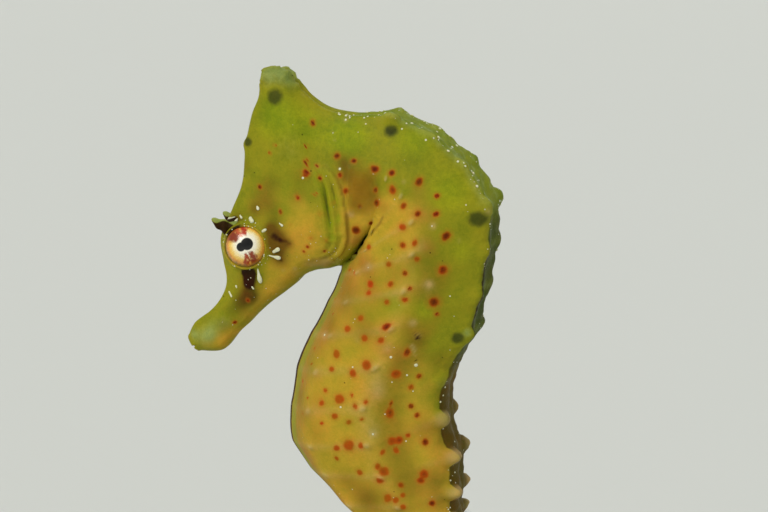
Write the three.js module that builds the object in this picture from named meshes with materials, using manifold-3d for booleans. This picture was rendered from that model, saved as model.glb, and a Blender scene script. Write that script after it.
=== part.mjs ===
// A life-size yellow seahorse of the spotted estuary kind, swimming upright on a plain display stand.
//
// Millimetres, +Z up. The animal faces -X and its left side faces -Y. The origin is the centre of the
// base's underside. The body is one lofted form, parted by thin cuts into head, neck, trunk and tail.
// Each cross-section is a rung between a point on the back and a point on the belly, both in the
// plane y = 0, and carries the bony ridges of the armour as corners.
import * as THREE from "three";
import { mergeVertices } from "three/addons/utils/BufferGeometryUtils.js";
import Module from "manifold-3d";

const wasm = await Module();
wasm.setup();

// ---------------------------------------------------------------- driving dimensions

const GAP = 0.3; // clear cut between neighbouring pieces
const CUT = GAP / 2; // each side's share of a cut

// Head sections from the lips to the nape. Each has a point on the crest [x, z], a point on the
// throat [x, z], and half-widths at the crest, at the widest ridge, at the lower ridge and at the
// throat. The last two numbers say how far down the rung the two ridges lie, as shares.
const HEAD_SECTIONS = {
  lips: [[-29.4, 77.0], [-27.6, 74.6], 0.5, 1.2, 0.9, 0.4, 0.5, 0.85],
  jaw: [[-28.2, 79.0], [-24.0, 75.0], 1.1, 2.3, 1.9, 0.8, 0.5, 0.85],
  muzzle: [[-25.9, 80.8], [-21.6, 77.7], 1.2, 2.4, 1.9, 0.9, 0.5, 0.85],
  snout: [[-24.4, 82.5], [-20.0, 79.2], 1.2, 2.5, 2.0, 1.0, 0.5, 0.85],
  snoutRoot: [[-23.4, 84.5], [-18.4, 80.9], 1.2, 2.8, 2.3, 1.1, 0.5, 0.85],
  brow: [[-23.2, 86.4], [-16.5, 82.6], 1.3, 3.2, 2.6, 1.2, 0.5, 0.86],
  eyeFront: [[-23.6, 88.7], [-14.4, 84.2], 1.4, 3.7, 2.9, 1.3, 0.48, 0.87],
  eye: [[-23.9, 92.3], [-12.7, 85.6], 1.5, 4.1, 3.3, 1.4, 0.48, 0.87],
  eyeBack: [[-22.2, 96.2], [-11.3, 87.0], 1.6, 4.5, 3.7, 1.6, 0.5, 0.87],
  cheek: [[-20.5, 100.4], [-9.4, 87.9], 1.6, 4.9, 4.1, 1.9, 0.54, 0.87],
  forehead: [[-19.9, 105.6], [-7.3, 88.3], 1.6, 5.1, 4.4, 2.2, 0.6, 0.88],
  crownFoot: [[-18.9, 110.2], [-6.3, 88.7], 1.6, 5.2, 4.5, 2.4, 0.66, 0.89],
  crownFront: [[-17.8, 113.0], [-6.0, 88.85], 1.6, 5.3, 4.6, 2.5, 0.68, 0.9],
  crownRim: [[-17.3, 116.2], [-5.8, 88.95], 1.7, 5.3, 4.6, 2.55, 0.7, 0.9],
  crownTop: [[-14.9, 117.2], [-5.7, 89.0], 1.8, 5.3, 4.6, 2.6, 0.71, 0.9],
  crownBack: [[-12.1, 114.9], [-5.5, 89.2], 1.7, 5.3, 4.6, 2.7, 0.7, 0.9],
  napeTop: [[-10.0, 112.9], [-5.3, 89.4], 1.8, 5.2, 4.7, 2.8, 0.66, 0.9],
  nape: [[-7.4, 111.4], [-5.0, 89.8], 2.2, 5.1, 4.7, 3.0, 0.6, 0.9],
  shoulder: [[-3.4, 110.8], [-3.3, 91.4], 2.8, 5.3, 4.8, 3.3, 0.55, 0.9],
};

// One row for each bony ring of the trunk, in the same form.
const TRUNK_RINGS = [
  [[2.3, 111.0], [-0.5, 94.4], 3.4, 5.9, 5.1, 3.5, 0.5, 0.88],
  [[8.0, 108.6], [-1.3, 93.2], 3.8, 6.6, 5.6, 3.4, 0.48, 0.86],
  [[13.1, 104.4], [-3.0, 90.8], 4.6, 7.1, 5.9, 2.6, 0.47, 0.84],
  [[16.6, 98.6], [-5.3, 88.2], 5.3, 7.4, 6.0, 1.4, 0.47, 0.83],
  [[16.7, 92.1], [-7.0, 84.5], 5.3, 7.5, 6.0, 0.8, 0.47, 0.83],
  [[15.6, 85.6], [-9.4, 79.8], 5.2, 7.5, 6.0, 0.6, 0.47, 0.83],
  [[13.9, 79.2], [-12.0, 74.6], 5.0, 7.4, 5.9, 0.6, 0.47, 0.83],
  [[10.3, 72.8], [-13.2, 68.8], 4.8, 7.2, 5.8, 0.6, 0.47, 0.83],
  [[9.6, 66.6], [-13.6, 62.8], 4.6, 6.9, 5.5, 0.7, 0.47, 0.83],
  [[11.0, 60.9], [-11.4, 58.6], 4.4, 6.2, 4.9, 1.0, 0.47, 0.85],
  [[11.2, 55.4], [-7.0, 54.2], 4.1, 5.3, 4.2, 1.8, 0.47, 0.9],
];

// The tail: 35 rings along a flat spiral that curls forwards.
const TAIL_RINGS = 35;
const TAIL_START = { x: 4.6, z: 50.4 }; // centre of the first tail ring
const TAIL_LENGTH = 90;
const TAIL_DEPTH = { root: 13.4, tip: 1.2, power: 1.2 };
const TAIL_HALF_WIDTH = { root: 0.36, tip: 0.5 }; // as shares of the depth
const TAIL_TURN = { first: -9, total: 470, power: 1.9 }; // degrees from straight down
const TAIL_RING_TAPER = 2.7; // the first ring is this much longer than the last
const TAIL_CUTS = [11.5, 15.5, 19.5, 23.5, 28.5, 33.5, 39.5, 46]; // in rings, counted from the shoulder

// Ridge tubercles: how far they stand out at each trunk ring, and along the tail.
const BACK_TUBERCLES = [0.8, 0.4, 0.5, 1.1, 0.5, 0.5, 0.9, 0.6, 1.5, 1.9, 1.8];
const SIDE_TUBERCLE = 0.45;
const BELLY_TUBERCLE = 0.35;
const TAIL_TUBERCLE_SHARE = 0.13; // of the tail's depth
const PLATE_HOLLOW = 0.22; // how far the plates sink between two rings
const PLATE_SWELL = 0.65; // 0 draws the sections' sides straight, 1 as full curves
const SECTION_MIDDLE = 0.45; // how far down a section its widest place lies

const EYE = { x: -19.5, z: 91.4, y: 3.35, radius: 2.95, depth: 2.35 };
const ORBIT = { radius: 3.55, depth: 2.3, y: 2.5 };
const EYE_SPINE = { foot: [-21.4, 94.0], tip: [-24.5, 95.8], y: 2.4, flare: 0.6, radius: 1.25 };
const CREST_KNOB = { x: -19.9, z: 106.1, radius: 0.95 };
const CROWN_CUT_Z = 112.6; // level at which the coronet parts from the head
const CROWN_KNOBS = { count: 5, radius: 0.95, out: 2.3, aside: 1.35, x: -15.1, z: 116.0 };

const PECTORAL = { x: -3.5, z: 100.6, root: 6.2, fan: 16, length: 4.6, rays: 12, lift: 0.16 };
const DORSAL_FIN = { from: 11.55, to: 14.3, clear: 0.45, height: 6.6, lean: 36, fan: 14, rays: 17 };
const ANAL_FIN = { ring: 12.3, root: 1.1, clear: 0.4, height: 2.8, spread: 44, droop: 24 };
const FIN_THICKNESS = 0.6;

const BASE = { radius: 32, height: 8, edge: 1.2 };
const ROD = { radius: 1.5, foot: 3.2, footHeight: 1.6 };

const AROUND_BACK = 1; // facets on half of the back
const AROUND_SIDES = [3, 2, 2]; // facets from ridge to ridge down one side
const AROUND_KEEL = 1;
const EYE_FACETS = 16;
const KNOB_FACETS = 8;
const BASE_FACETS = 48;
const ROD_FACETS = 16;

// ---------------------------------------------------------------- numbers along the body

const radians = THREE.MathUtils.degToRad;
const mix = THREE.MathUtils.lerp;

// Catmull-Rom through four numbers, at t between the middle two.
function spline(a, b, c, d, t) {
  return (
    b + 0.5 * t * (c - a + t * (2 * a - 5 * b + 4 * c - d + t * (3 * (b - c) + d - a)))
  );
}

// The row of a ring or section as one flat list of ten numbers.
const flat = ([back, belly, ...rest]) => [...back, ...belly, ...rest];

// Tail rings: ring lengths shrink evenly, and the heading turns faster towards the tip.
function tailRows() {
  const rows = [];
  const unit = TAIL_LENGTH / (((TAIL_RING_TAPER + 1) / 2) * (TAIL_RINGS - 1));
  const steps = 12;
  let { x, z } = TAIL_START;
  let along = 0;
  for (let ring = 0; ring < TAIL_RINGS; ring++) {
    const t = Math.min(along / TAIL_LENGTH, 1);
    const depth = TAIL_DEPTH.tip + (TAIL_DEPTH.root - TAIL_DEPTH.tip) * (1 - t) ** TAIL_DEPTH.power;
    const half = depth * mix(TAIL_HALF_WIDTH.root, TAIL_HALF_WIDTH.tip, t);
    const [backX, backZ] = acrossTail(t);
    rows.push([
      x + (backX * depth) / 2,
      z + (backZ * depth) / 2,
      x - (backX * depth) / 2,
      z - (backZ * depth) / 2,
      half * 0.9,
      half,
      half * 0.86,
      half * 0.55,
      0.45,
      0.93,
    ]);
    const length = unit * mix(TAIL_RING_TAPER, 1, ring / (TAIL_RINGS - 1));
    for (let i = 0; i < steps; i++) {
      along += length / steps;
      const [ax, az] = acrossTail(along / TAIL_LENGTH);
      x += (az * length) / steps;
      z -= (ax * length) / steps;
    }
  }
  return rows;
}

// Unit direction from the tail's centre to its back, at share t of the tail's length.
function acrossTail(t) {
  const turn = radians(TAIL_TURN.first + TAIL_TURN.total * t ** TAIL_TURN.power);
  return [Math.cos(turn), -Math.sin(turn)];
}

const head = Object.values(HEAD_SECTIONS).map(flat);
const HEAD_ROWS = head.length;
const stations = [...head, ...TRUNK_RINGS.map(flat), ...tailRows()];

// Station number of trunk or tail ring r, counted from 1 at the shoulder.
const ring = (r) => HEAD_ROWS - 1 + r;
const section = (name) => Object.keys(HEAD_SECTIONS).indexOf(name);
const LAST = stations.length - 1;

function stationAt(u) {
  const i = Math.min(Math.floor(u), LAST - 1);
  const row = (k) => stations[THREE.MathUtils.clamp(k, 0, LAST)];
  const [a, b, c, d] = [row(i - 1), row(i), row(i + 1), row(i + 2)];
  return b.map((_, k) => spline(a[k], b[k], c[k], d[k], u - i));
}

// How far a back-ridge tubercle stands out at ring r.
function backTubercle(r, depth) {
  if (r > BACK_TUBERCLES.length) return depth * TAIL_TUBERCLE_SHARE;
  const i = THREE.MathUtils.clamp(Math.floor(r) - 1, 0, BACK_TUBERCLES.length - 1);
  return BACK_TUBERCLES[i];
}

// ---------------------------------------------------------------- the lofted body

// Corners of half a cross-section at u: middle of the back, back ridge, side ridge, belly ridge,
// keel and middle of the belly, each as [share down the rung, half-width].
function corners(u) {
  const [, , , , wBack, wSide, wBelly, wKeel, sideAt, bellyAt] = stationAt(u);
  return [
    [0.02, 0],
    [0, wBack],
    [sideAt, wSide],
    [bellyAt, wBelly],
    [1, wKeel],
    [1, 0],
  ];
}

// The closed ring of points at u. Tubercles and hollows push the ridges out or in along the
// section's own outward direction.
function bodyRing(u) {
  const [bx, bz, vx, vz] = stationAt(u);
  const depth = Math.hypot(vx - bx, vz - bz);
  const down = [(vx - bx) / depth, (vz - bz) / depth];
  const r = u - (HEAD_ROWS - 1);
  const onRings = THREE.MathUtils.smoothstep(r, 0.3, 1);
  const phase = 0.5 + 0.5 * Math.cos(2 * Math.PI * r);
  const peak = onRings * phase ** 3;
  const hollow = onRings * (1 - phase) * Math.min(PLATE_HOLLOW, depth * 0.02);
  const scale = Math.min(1, depth / 12);
  const heights = [
    -hollow,
    peak * backTubercle(Math.round(r), depth) - hollow,
    peak * SIDE_TUBERCLE * scale - hollow,
    peak * BELLY_TUBERCLE * scale - hollow,
    -hollow,
    -hollow,
  ];
  const shape = corners(u).map(([share, width], k) => {
    const out = new THREE.Vector2((share - SECTION_MIDDLE) * depth, width).normalize();
    return new THREE.Vector2(
      share * depth + out.x * heights[k],
      Math.max(0, width + (k === 0 || k === 5 ? 0 : out.y * heights[k])),
    );
  });
  const half = roundedHalf(shape);
  const place = ([along, side], sign) =>
    new THREE.Vector3(bx + down[0] * along, sign * side, bz + down[1] * along);
  const left = half.map((p) => place(p, -1));
  const right = half.slice(1, -1).map((p) => place(p, 1));
  return [...left, ...right.reverse()];
}

// Points down one side: between corners the line swells a little, so plates are not dead flat.
function roundedHalf(shape) {
  const counts = [AROUND_BACK, ...AROUND_SIDES, AROUND_KEEL];
  const points = [[shape[0].x, 0]];
  const at = (k) => shape[THREE.MathUtils.clamp(k, 0, shape.length - 1)];
  counts.forEach((count, k) => {
    for (let j = 1; j <= count; j++) {
      const t = j / count;
      const curve = ["x", "y"].map((c) =>
        spline(at(k - 1)[c], at(k)[c], at(k + 1)[c], at(k + 2)[c], t),
      );
      const line = ["x", "y"].map((c) => mix(at(k)[c], at(k + 1)[c], t));
      points.push([
        mix(line[0], curve[0], PLATE_SWELL),
        Math.max(0, mix(line[1], curve[1], PLATE_SWELL)),
      ]);
    }
  });
  points[points.length - 1][1] = 0;
  return points;
}

// A closed mesh from rings of equal count, with a fan over each end.
function loft(rings) {
  const n = rings[0].length;
  const centre = (ringPoints) =>
    ringPoints.reduce((sum, p) => sum.add(p), new THREE.Vector3()).divideScalar(n);
  const points = [...rings.flat(), centre(rings[0]), centre(rings.at(-1))];
  const faces = [];
  for (let i = 0; i + 1 < rings.length; i++) {
    for (let j = 0; j < n; j++) {
      const [a, b] = [i * n + j, i * n + ((j + 1) % n)];
      faces.push(a, b, a + n, b, b + n, a + n);
    }
  }
  const [first, last, end] = [points.length - 2, points.length - 1, (rings.length - 1) * n];
  for (let j = 0; j < n; j++) {
    const next = (j + 1) % n;
    faces.push(first, next, j, last, end + j, end + next);
  }
  return solid(points, faces);
}

// A manifold solid from points and triangles, turned outwards if it came out inside out.
function solid(points, faces) {
  const vertProperties = new Float32Array(points.flatMap((p) => [p.x, p.y, p.z]));
  const make = (tri) =>
    new wasm.Manifold(
      new wasm.Mesh({ numProp: 3, vertProperties, triVerts: new Uint32Array(tri) }),
    );
  const made = make(faces);
  if (made.volume() > 0) return made;
  const turned = [];
  for (let i = 0; i < faces.length; i += 3) turned.push(faces[i], faces[i + 2], faces[i + 1]);
  return make(turned);
}

// A three.js geometry as a manifold solid.
function solidOf(geometry) {
  const bare = geometry.clone();
  bare.deleteAttribute("normal");
  bare.deleteAttribute("uv");
  const merged = mergeVertices(bare, 1e-4);
  const position = merged.attributes.position;
  const points = [];
  for (let i = 0; i < position.count; i++) {
    points.push(new THREE.Vector3().fromBufferAttribute(position, i));
  }
  return solid(points, [...merged.index.array]);
}

// The largest of a solid's separate bodies.
const biggest = (made) => made.decompose().sort((a, b) => b.volume() - a.volume())[0];

// A manifold solid as a three.js geometry.
function geometryOf(made) {
  const mesh = made.getMesh();
  const position = new Float32Array(mesh.numVert * 3);
  for (let i = 0; i < mesh.numVert; i++) {
    position.set(mesh.vertProperties.subarray(i * mesh.numProp, i * mesh.numProp + 3), i * 3);
  }
  const geometry = new THREE.BufferGeometry()
    .setAttribute("position", new THREE.BufferAttribute(position, 3))
    .setIndex(new THREE.BufferAttribute(mesh.triVerts, 1));
  geometry.computeVertexNormals();
  return geometry;
}

// The body between stations from and to, in steps, with each end drawn in by half a cut.
function bodyLength(from, to, step) {
  const count = Math.max(2, Math.round((to - from) / step));
  const rings = [];
  for (let i = 0; i <= count; i++) rings.push(bodyRing(mix(from, to, i / count)));
  const drawIn = (ringPoints, u, sign) => {
    if (u <= 0 || u >= LAST) return;
    const [bx, bz, vx, vz] = stationAt(u);
    const normal = new THREE.Vector3(vz - bz, 0, bx - vx).normalize();
    const [ahead] = bodyRing(Math.min(u + 0.2, LAST));
    if (normal.dot(ahead.clone().sub(bodyRing(u)[0])) < 0) normal.negate();
    ringPoints.forEach((p) => p.addScaledVector(normal, sign * CUT));
  };
  drawIn(rings[0], from, 1);
  drawIn(rings.at(-1), to, -1);
  return loft(rings);
}

// ---------------------------------------------------------------- head furniture

// An ellipsoid with its own radii along x, y and z.
function ellipsoid(rx, ry, rz, centre, detail) {
  const geometry = new THREE.SphereGeometry(1, detail, Math.round(detail * 0.7));
  geometry.scale(rx, ry, rz).translate(...centre);
  return solidOf(geometry);
}

// The blunt spine over one eye, leaning outwards from foot to tip.
function eyeSpine(side) {
  const { foot, tip, y, flare, radius } = EYE_SPINE;
  const from = new THREE.Vector3(foot[0], side * y, foot[1]);
  const along = new THREE.Vector3(tip[0], side * (y + flare), tip[1]).sub(from);
  const length = along.length();
  const profile = [
    [0, -0.5],
    [radius, -0.5],
    [radius * 0.62, length * 0.45],
    [radius * 0.28, length * 0.9],
    [0, length],
  ].map(([out, up]) => new THREE.Vector2(out, up));
  const turn = new THREE.Quaternion().setFromUnitVectors(THREE.Object3D.DEFAULT_UP, along.normalize());
  const geometry = new THREE.LatheGeometry(profile, 8).applyQuaternion(turn);
  return solidOf(geometry.translate(from.x, from.y, from.z));
}

function eyeSolid(side, grow = 0) {
  const { x, y, z, radius, depth } = EYE;
  return ellipsoid(radius + grow, depth + grow, radius + grow, [x, side * y, z], EYE_FACETS);
}

function wholeHead() {
  let form = bodyLength(section("brow"), section("shoulder"), 0.5);
  for (const side of [-1, 1]) {
    const { radius, depth, y } = ORBIT;
    form = form.add(ellipsoid(radius, depth, radius, [EYE.x, side * y, EYE.z], EYE_FACETS));
    form = form.add(eyeSpine(side));
    form = form.subtract(eyeSolid(side, GAP));
  }
  const { x, z, radius } = CREST_KNOB;
  return form.add(ellipsoid(radius, radius * 0.9, radius, [x, 0, z], KNOB_FACETS));
}

// The five low points of the coronet, set round its rim.
function crownKnobs() {
  const { count, radius, out, aside, x, z } = CROWN_KNOBS;
  return Array.from({ length: count }, (_, i) => {
    const angle = (2 * Math.PI * i) / count;
    const centre = [x + out * Math.cos(angle), aside * Math.sin(angle), z];
    return ellipsoid(radius, radius * 0.85, radius * 1.25, centre, KNOB_FACETS);
  });
}

// ---------------------------------------------------------------- fins

// A plate cut to an outline in the x-z plane, centred on y = 0.
function finPlate(outline) {
  const shape = new THREE.Shape(outline.map(([x, z]) => new THREE.Vector2(x, z)));
  const geometry = new THREE.ExtrudeGeometry(shape, { depth: FIN_THICKNESS, bevelEnabled: false });
  geometry.translate(0, 0, -FIN_THICKNESS / 2).rotateX(Math.PI / 2);
  return solidOf(geometry);
}

// A fan of rays behind the gill cover. It lies on the side of the neck and lifts away from it
// towards its rim, so each point starts from the body's own surface there.
function pectoralFin(side, body) {
  const { x, z, root, fan, length, rays, lift } = PECTORAL;
  const skin = new THREE.Mesh(geometryOf(body), new THREE.MeshBasicMaterial());
  const inward = new THREE.Vector3(0, -side, 0);
  const surface = (px, pz) => {
    const from = new THREE.Vector3(px, side * 30, pz);
    return new THREE.Raycaster(from, inward).intersectObject(skin)[0].point.y;
  };
  const across = 4;
  const sheet = (height) => {
    const points = [];
    for (let i = 0; i <= rays; i++) {
      const t = i / rays - 0.5;
      const angle = radians(2 * fan * t);
      const reach = length * (0.82 + 0.18 * Math.cos(2 * t));
      for (let j = 0; j <= across; j++) {
        const out = (reach * j) / across;
        const [px, pz] = [x + out * Math.cos(angle), z + root * t + out * Math.sin(angle)];
        const y = surface(px, pz) + side * (GAP + height + out * lift);
        points.push(new THREE.Vector3(px, y, pz));
      }
    }
    return points;
  };
  return slab(sheet(0.05), sheet(0.05 + FIN_THICKNESS), rays + 1, across + 1);
}

// A closed plate between two sheets of points, each rows x columns.
function slab(under, over, rows, columns) {
  const n = rows * columns;
  const faces = [];
  for (let i = 0; i + 1 < rows; i++) {
    for (let j = 0; j + 1 < columns; j++) {
      const [a, b, c, d] = [i, i, i + 1, i + 1].map((r, k) => r * columns + j + (k % 2));
      faces.push(a, c, b, b, c, d, n + a, n + b, n + c, n + b, n + d, n + c);
    }
  }
  const rim = [
    ...Array.from({ length: columns }, (_, j) => j),
    ...Array.from({ length: rows - 1 }, (_, i) => (i + 1) * columns + columns - 1),
    ...Array.from({ length: columns - 1 }, (_, j) => rows * columns - 2 - j),
    ...Array.from({ length: rows - 2 }, (_, i) => (rows - 2 - i) * columns),
  ];
  rim.forEach((a, k) => {
    const b = rim[(k + 1) % rim.length];
    faces.push(a, b, n + a, b, n + b, n + a);
  });
  return solid([...under, ...over], faces);
}

// A fan of rays along the middle of the back, between two stations.
function dorsalFin() {
  const { from, to, clear, height, lean, fan, rays } = DORSAL_FIN;
  const root = [];
  const rim = [];
  for (let i = 0; i <= rays; i++) {
    const t = i / rays;
    const u = ring(mix(from, to, t));
    const [bx, bz, vx, vz] = stationAt(u);
    const out = Math.atan2(bz - vz, bx - vx) - radians(lean + fan * t);
    const reach = height * (0.5 + 0.5 * Math.sin(Math.PI * (0.12 + 0.76 * t)));
    root.push([bx + clear * Math.cos(out), bz + clear * Math.sin(out)]);
    rim.push([bx + reach * Math.cos(out), bz + reach * Math.sin(out)]);
  }
  return finPlate([...root, ...rim.reverse()]);
}

// The tiny fan under the vent, at the foot of the belly.
function analFin() {
  const { ring: at, root, clear, height, spread, droop } = ANAL_FIN;
  const [bx, bz, vx, vz] = stationAt(ring(at));
  const across = Math.atan2(vz - bz, vx - bx);
  const foot = [vx + clear * Math.cos(across), vz + clear * Math.sin(across)];
  const outline = [0.5, -0.5].map((share) => [
    foot[0] - share * root * Math.sin(across),
    foot[1] + share * root * Math.cos(across),
  ]);
  for (const share of [-0.5, -0.17, 0.17, 0.5]) {
    const angle = across + radians(droop + spread * share);
    outline.push([foot[0] + height * Math.cos(angle), foot[1] + height * Math.sin(angle)]);
  }
  return finPlate(outline);
}

// ---------------------------------------------------------------- the stand

function standBase() {
  const { radius, height, edge } = BASE;
  const profile = [
    [0, 0],
    [radius, 0],
    [radius, height - edge],
    [radius - edge * 0.3, height - edge * 0.3],
    [radius - edge, height],
    [0, height],
  ].map(([x, y]) => new THREE.Vector2(x, y));
  return solidOf(new THREE.LatheGeometry(profile, BASE_FACETS).rotateX(Math.PI / 2));
}

// The lowest place under the tail's curl, in the groove between its two back ridges.
function underTail() {
  let lowest = { z: Infinity };
  for (let r = 12; r < ring(30) - ring(0); r += 0.05) {
    const [x, z] = stationAt(ring(r));
    if (z < lowest.z) lowest = { x, z };
  }
  return lowest;
}

// The rod stands on the base and is trimmed by the tail that it carries.
function standRod(tail) {
  const { radius, foot, footHeight } = ROD;
  const { x, z } = underTail();
  const bottom = BASE.height + GAP / 2;
  const profile = [
    [0, bottom],
    [foot, bottom],
    [foot, bottom + footHeight * 0.6],
    [radius * 1.25, bottom + footHeight],
    [radius, bottom + footHeight * 1.5],
    [radius, z + 2],
    [0, z + 2],
  ].map(([px, py]) => new THREE.Vector2(px, py));
  const upright = new THREE.LatheGeometry(profile, ROD_FACETS).rotateX(Math.PI / 2);
  const clear = tail.add(tail.translate([0, 0, -GAP])).add(tail.translate([0, 0, 2]));
  return biggest(solidOf(upright.translate(x, 0, 0)).subtract(clear));
}

// ---------------------------------------------------------------- the model

const PAINTS = {
  skin: { color: 0xa89428, roughness: 0.5, metalness: 0 },
  eye: { color: 0xe9cf9a, roughness: 0.12, metalness: 0 },
  fin: { color: 0xb49c46, roughness: 0.4, metalness: 0 },
  wood: { color: 0x3a2416, roughness: 0.45, metalness: 0 },
  brass: { color: 0xb08d57, roughness: 0.3, metalness: 1 },
};

const seahorse = new THREE.Group();

function add(name, made, paint) {
  const node = new THREE.Mesh(geometryOf(made), new THREE.MeshStandardMaterial(PAINTS[paint]));
  node.name = name;
  seahorse.add(node);
}

// What lies over the coronet's cut with side 1, or under it with side -1.
const partAtCrown = (made, side) =>
  biggest(made.splitByPlane([0, 0, side], side * CROWN_CUT_Z + CUT)[0]);

const skull = wholeHead();
const crown = crownKnobs().reduce((sum, knob) => sum.add(knob), skull);
add("snout", bodyLength(0, section("brow"), 0.5), "skin");
add("head", partAtCrown(skull, -1), "skin");
add("coronet", partAtCrown(crown, 1), "skin");
add("eye_left", eyeSolid(-1), "eye");
add("eye_right", eyeSolid(1), "eye");
add("neck", bodyLength(section("shoulder"), ring(2), 0.25), "skin");
add("trunk_front", bodyLength(ring(2), ring(6.5), 0.25), "skin");
add("trunk_rear", bodyLength(ring(6.5), ring(11.5), 0.25), "skin");

const tailLengths = TAIL_CUTS.slice(1).map((to, i) =>
  bodyLength(ring(TAIL_CUTS[i]), Math.min(ring(to), LAST), 0.5),
);
tailLengths.forEach((length, i) => add(`tail_${i + 1}`, length, "skin"));

const shoulders = bodyLength(section("crownTop"), ring(4), 0.25);
add("pectoral_fin_left", pectoralFin(-1, shoulders), "fin");
add("pectoral_fin_right", pectoralFin(1, shoulders), "fin");
add("dorsal_fin", dorsalFin(), "fin");
add("anal_fin", analFin(), "fin");

add("stand_base", standBase(), "wood");
const carried = tailLengths.reduce((sum, length) => sum.add(length));
add("stand_rod", standRod(carried), "brass");

export default seahorse;
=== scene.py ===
"""A life-size yellow seahorse, swimming upright on a plain turned stand.

The frame is +Z up. The animal faces -X and its left side faces -Y. Shapes are worked out in
millimetres and turned to metres where their mesh is made. The body is one skin: a grid of stations
along the animal and places round its section, pushed out or in by reliefs that are formulas too.
"""

import math

import bpy
import numpy as np
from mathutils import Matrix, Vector
from mathutils.bvhtree import BVHTree


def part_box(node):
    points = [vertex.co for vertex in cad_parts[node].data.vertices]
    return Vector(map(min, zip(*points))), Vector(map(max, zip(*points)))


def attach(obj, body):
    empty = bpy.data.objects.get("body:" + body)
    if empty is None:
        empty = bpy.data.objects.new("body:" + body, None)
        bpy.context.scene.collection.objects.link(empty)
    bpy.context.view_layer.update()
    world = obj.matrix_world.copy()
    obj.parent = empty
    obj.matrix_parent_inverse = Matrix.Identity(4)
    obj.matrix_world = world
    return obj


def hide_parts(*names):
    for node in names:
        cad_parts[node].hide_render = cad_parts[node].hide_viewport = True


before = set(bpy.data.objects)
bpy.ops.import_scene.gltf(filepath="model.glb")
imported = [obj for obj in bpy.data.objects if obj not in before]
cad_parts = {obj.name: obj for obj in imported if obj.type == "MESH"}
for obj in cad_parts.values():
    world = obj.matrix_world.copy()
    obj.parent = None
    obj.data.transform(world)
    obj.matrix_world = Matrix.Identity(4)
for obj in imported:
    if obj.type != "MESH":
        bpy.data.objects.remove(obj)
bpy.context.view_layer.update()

MM = 0.001
SEED = 11

# ---------------------------------------------------------------- sizes, in millimetres

# Head sections from the lips to the shoulder: a point on the crest [x, z], a point on the throat [x, z],
# half-widths at the crest, side ridge, lower ridge and throat, and how far down the two ridges lie.
HEAD_SECTIONS = {
    "lips": (-29.4, 77.0, -27.6, 74.6, 0.5, 1.2, 0.9, 0.4, 0.5, 0.85),
    "jaw": (-28.2, 79.0, -24.0, 75.0, 1.1, 2.3, 1.9, 0.8, 0.5, 0.85),
    "muzzle": (-25.9, 80.8, -21.6, 77.7, 1.2, 2.4, 1.9, 0.9, 0.5, 0.85),
    "snout": (-24.4, 82.5, -20.0, 79.2, 1.2, 2.5, 2.0, 1.0, 0.5, 0.85),
    "snout_root": (-23.4, 84.5, -18.4, 80.9, 1.2, 2.8, 2.3, 1.1, 0.5, 0.85),
    "brow": (-23.2, 86.4, -16.5, 82.6, 1.3, 3.2, 2.6, 1.2, 0.5, 0.86),
    "eye_front": (-23.6, 88.7, -14.4, 84.2, 1.4, 3.7, 2.9, 1.3, 0.48, 0.87),
    "eye": (-23.9, 92.3, -12.7, 85.6, 1.5, 4.1, 3.3, 1.4, 0.48, 0.87),
    "eye_back": (-22.2, 96.2, -11.3, 87.0, 1.6, 4.5, 3.7, 1.6, 0.5, 0.87),
    "cheek": (-20.5, 100.4, -9.4, 87.9, 1.6, 4.9, 4.1, 1.9, 0.54, 0.87),
    "forehead": (-19.9, 105.6, -7.3, 88.3, 1.6, 5.1, 4.4, 2.2, 0.6, 0.88),
    "crown_foot": (-18.9, 110.2, -6.3, 88.7, 1.6, 5.2, 4.5, 2.4, 0.66, 0.89),
    "crown_front": (-17.8, 113.0, -6.0, 88.85, 1.6, 5.3, 4.6, 2.5, 0.68, 0.9),
    "crown_rim": (-17.3, 116.2, -5.8, 88.95, 1.7, 5.3, 4.6, 2.55, 0.7, 0.9),
    "crown_top": (-14.9, 117.2, -5.7, 89.0, 1.8, 5.3, 4.6, 2.6, 0.71, 0.9),
    "crown_back": (-12.1, 114.9, -5.5, 89.2, 1.7, 5.3, 4.6, 2.7, 0.7, 0.9),
    "nape_top": (-10.0, 112.9, -5.3, 89.4, 1.8, 5.2, 4.7, 2.8, 0.66, 0.9),
    "nape": (-7.4, 111.4, -5.0, 89.8, 2.2, 5.1, 4.7, 3.0, 0.6, 0.9),
    "shoulder": (-3.4, 110.8, -3.3, 91.4, 2.8, 5.3, 4.8, 3.3, 0.55, 0.9),
}

# One row for each bony ring of the trunk, in the same form.
TRUNK_RINGS = [
    (2.3, 111.0, -0.5, 94.4, 3.4, 5.9, 5.1, 3.5, 0.5, 0.88),
    (8.0, 108.6, -1.3, 93.2, 3.8, 6.6, 5.6, 3.4, 0.48, 0.86),
    (13.1, 104.4, -3.0, 90.8, 4.6, 7.1, 5.9, 2.6, 0.47, 0.84),
    (16.6, 98.6, -5.3, 88.2, 5.3, 7.4, 6.0, 1.4, 0.47, 0.83),
    (16.7, 92.1, -7.0, 84.5, 5.3, 7.5, 6.0, 0.8, 0.47, 0.83),
    (15.6, 85.6, -9.4, 79.8, 5.2, 7.5, 6.0, 0.6, 0.47, 0.83),
    (13.9, 79.2, -12.0, 74.6, 5.0, 7.4, 5.9, 0.6, 0.47, 0.83),
    (10.3, 72.8, -13.2, 68.8, 4.8, 7.2, 5.8, 0.6, 0.47, 0.83),
    (9.6, 66.6, -13.6, 62.8, 4.6, 6.9, 5.5, 0.7, 0.47, 0.83),
    (11.0, 60.9, -11.4, 58.6, 4.4, 6.2, 4.9, 1.0, 0.47, 0.85),
    (11.2, 55.4, -7.0, 54.2, 4.1, 5.3, 4.2, 1.8, 0.47, 0.9),
]

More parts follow.
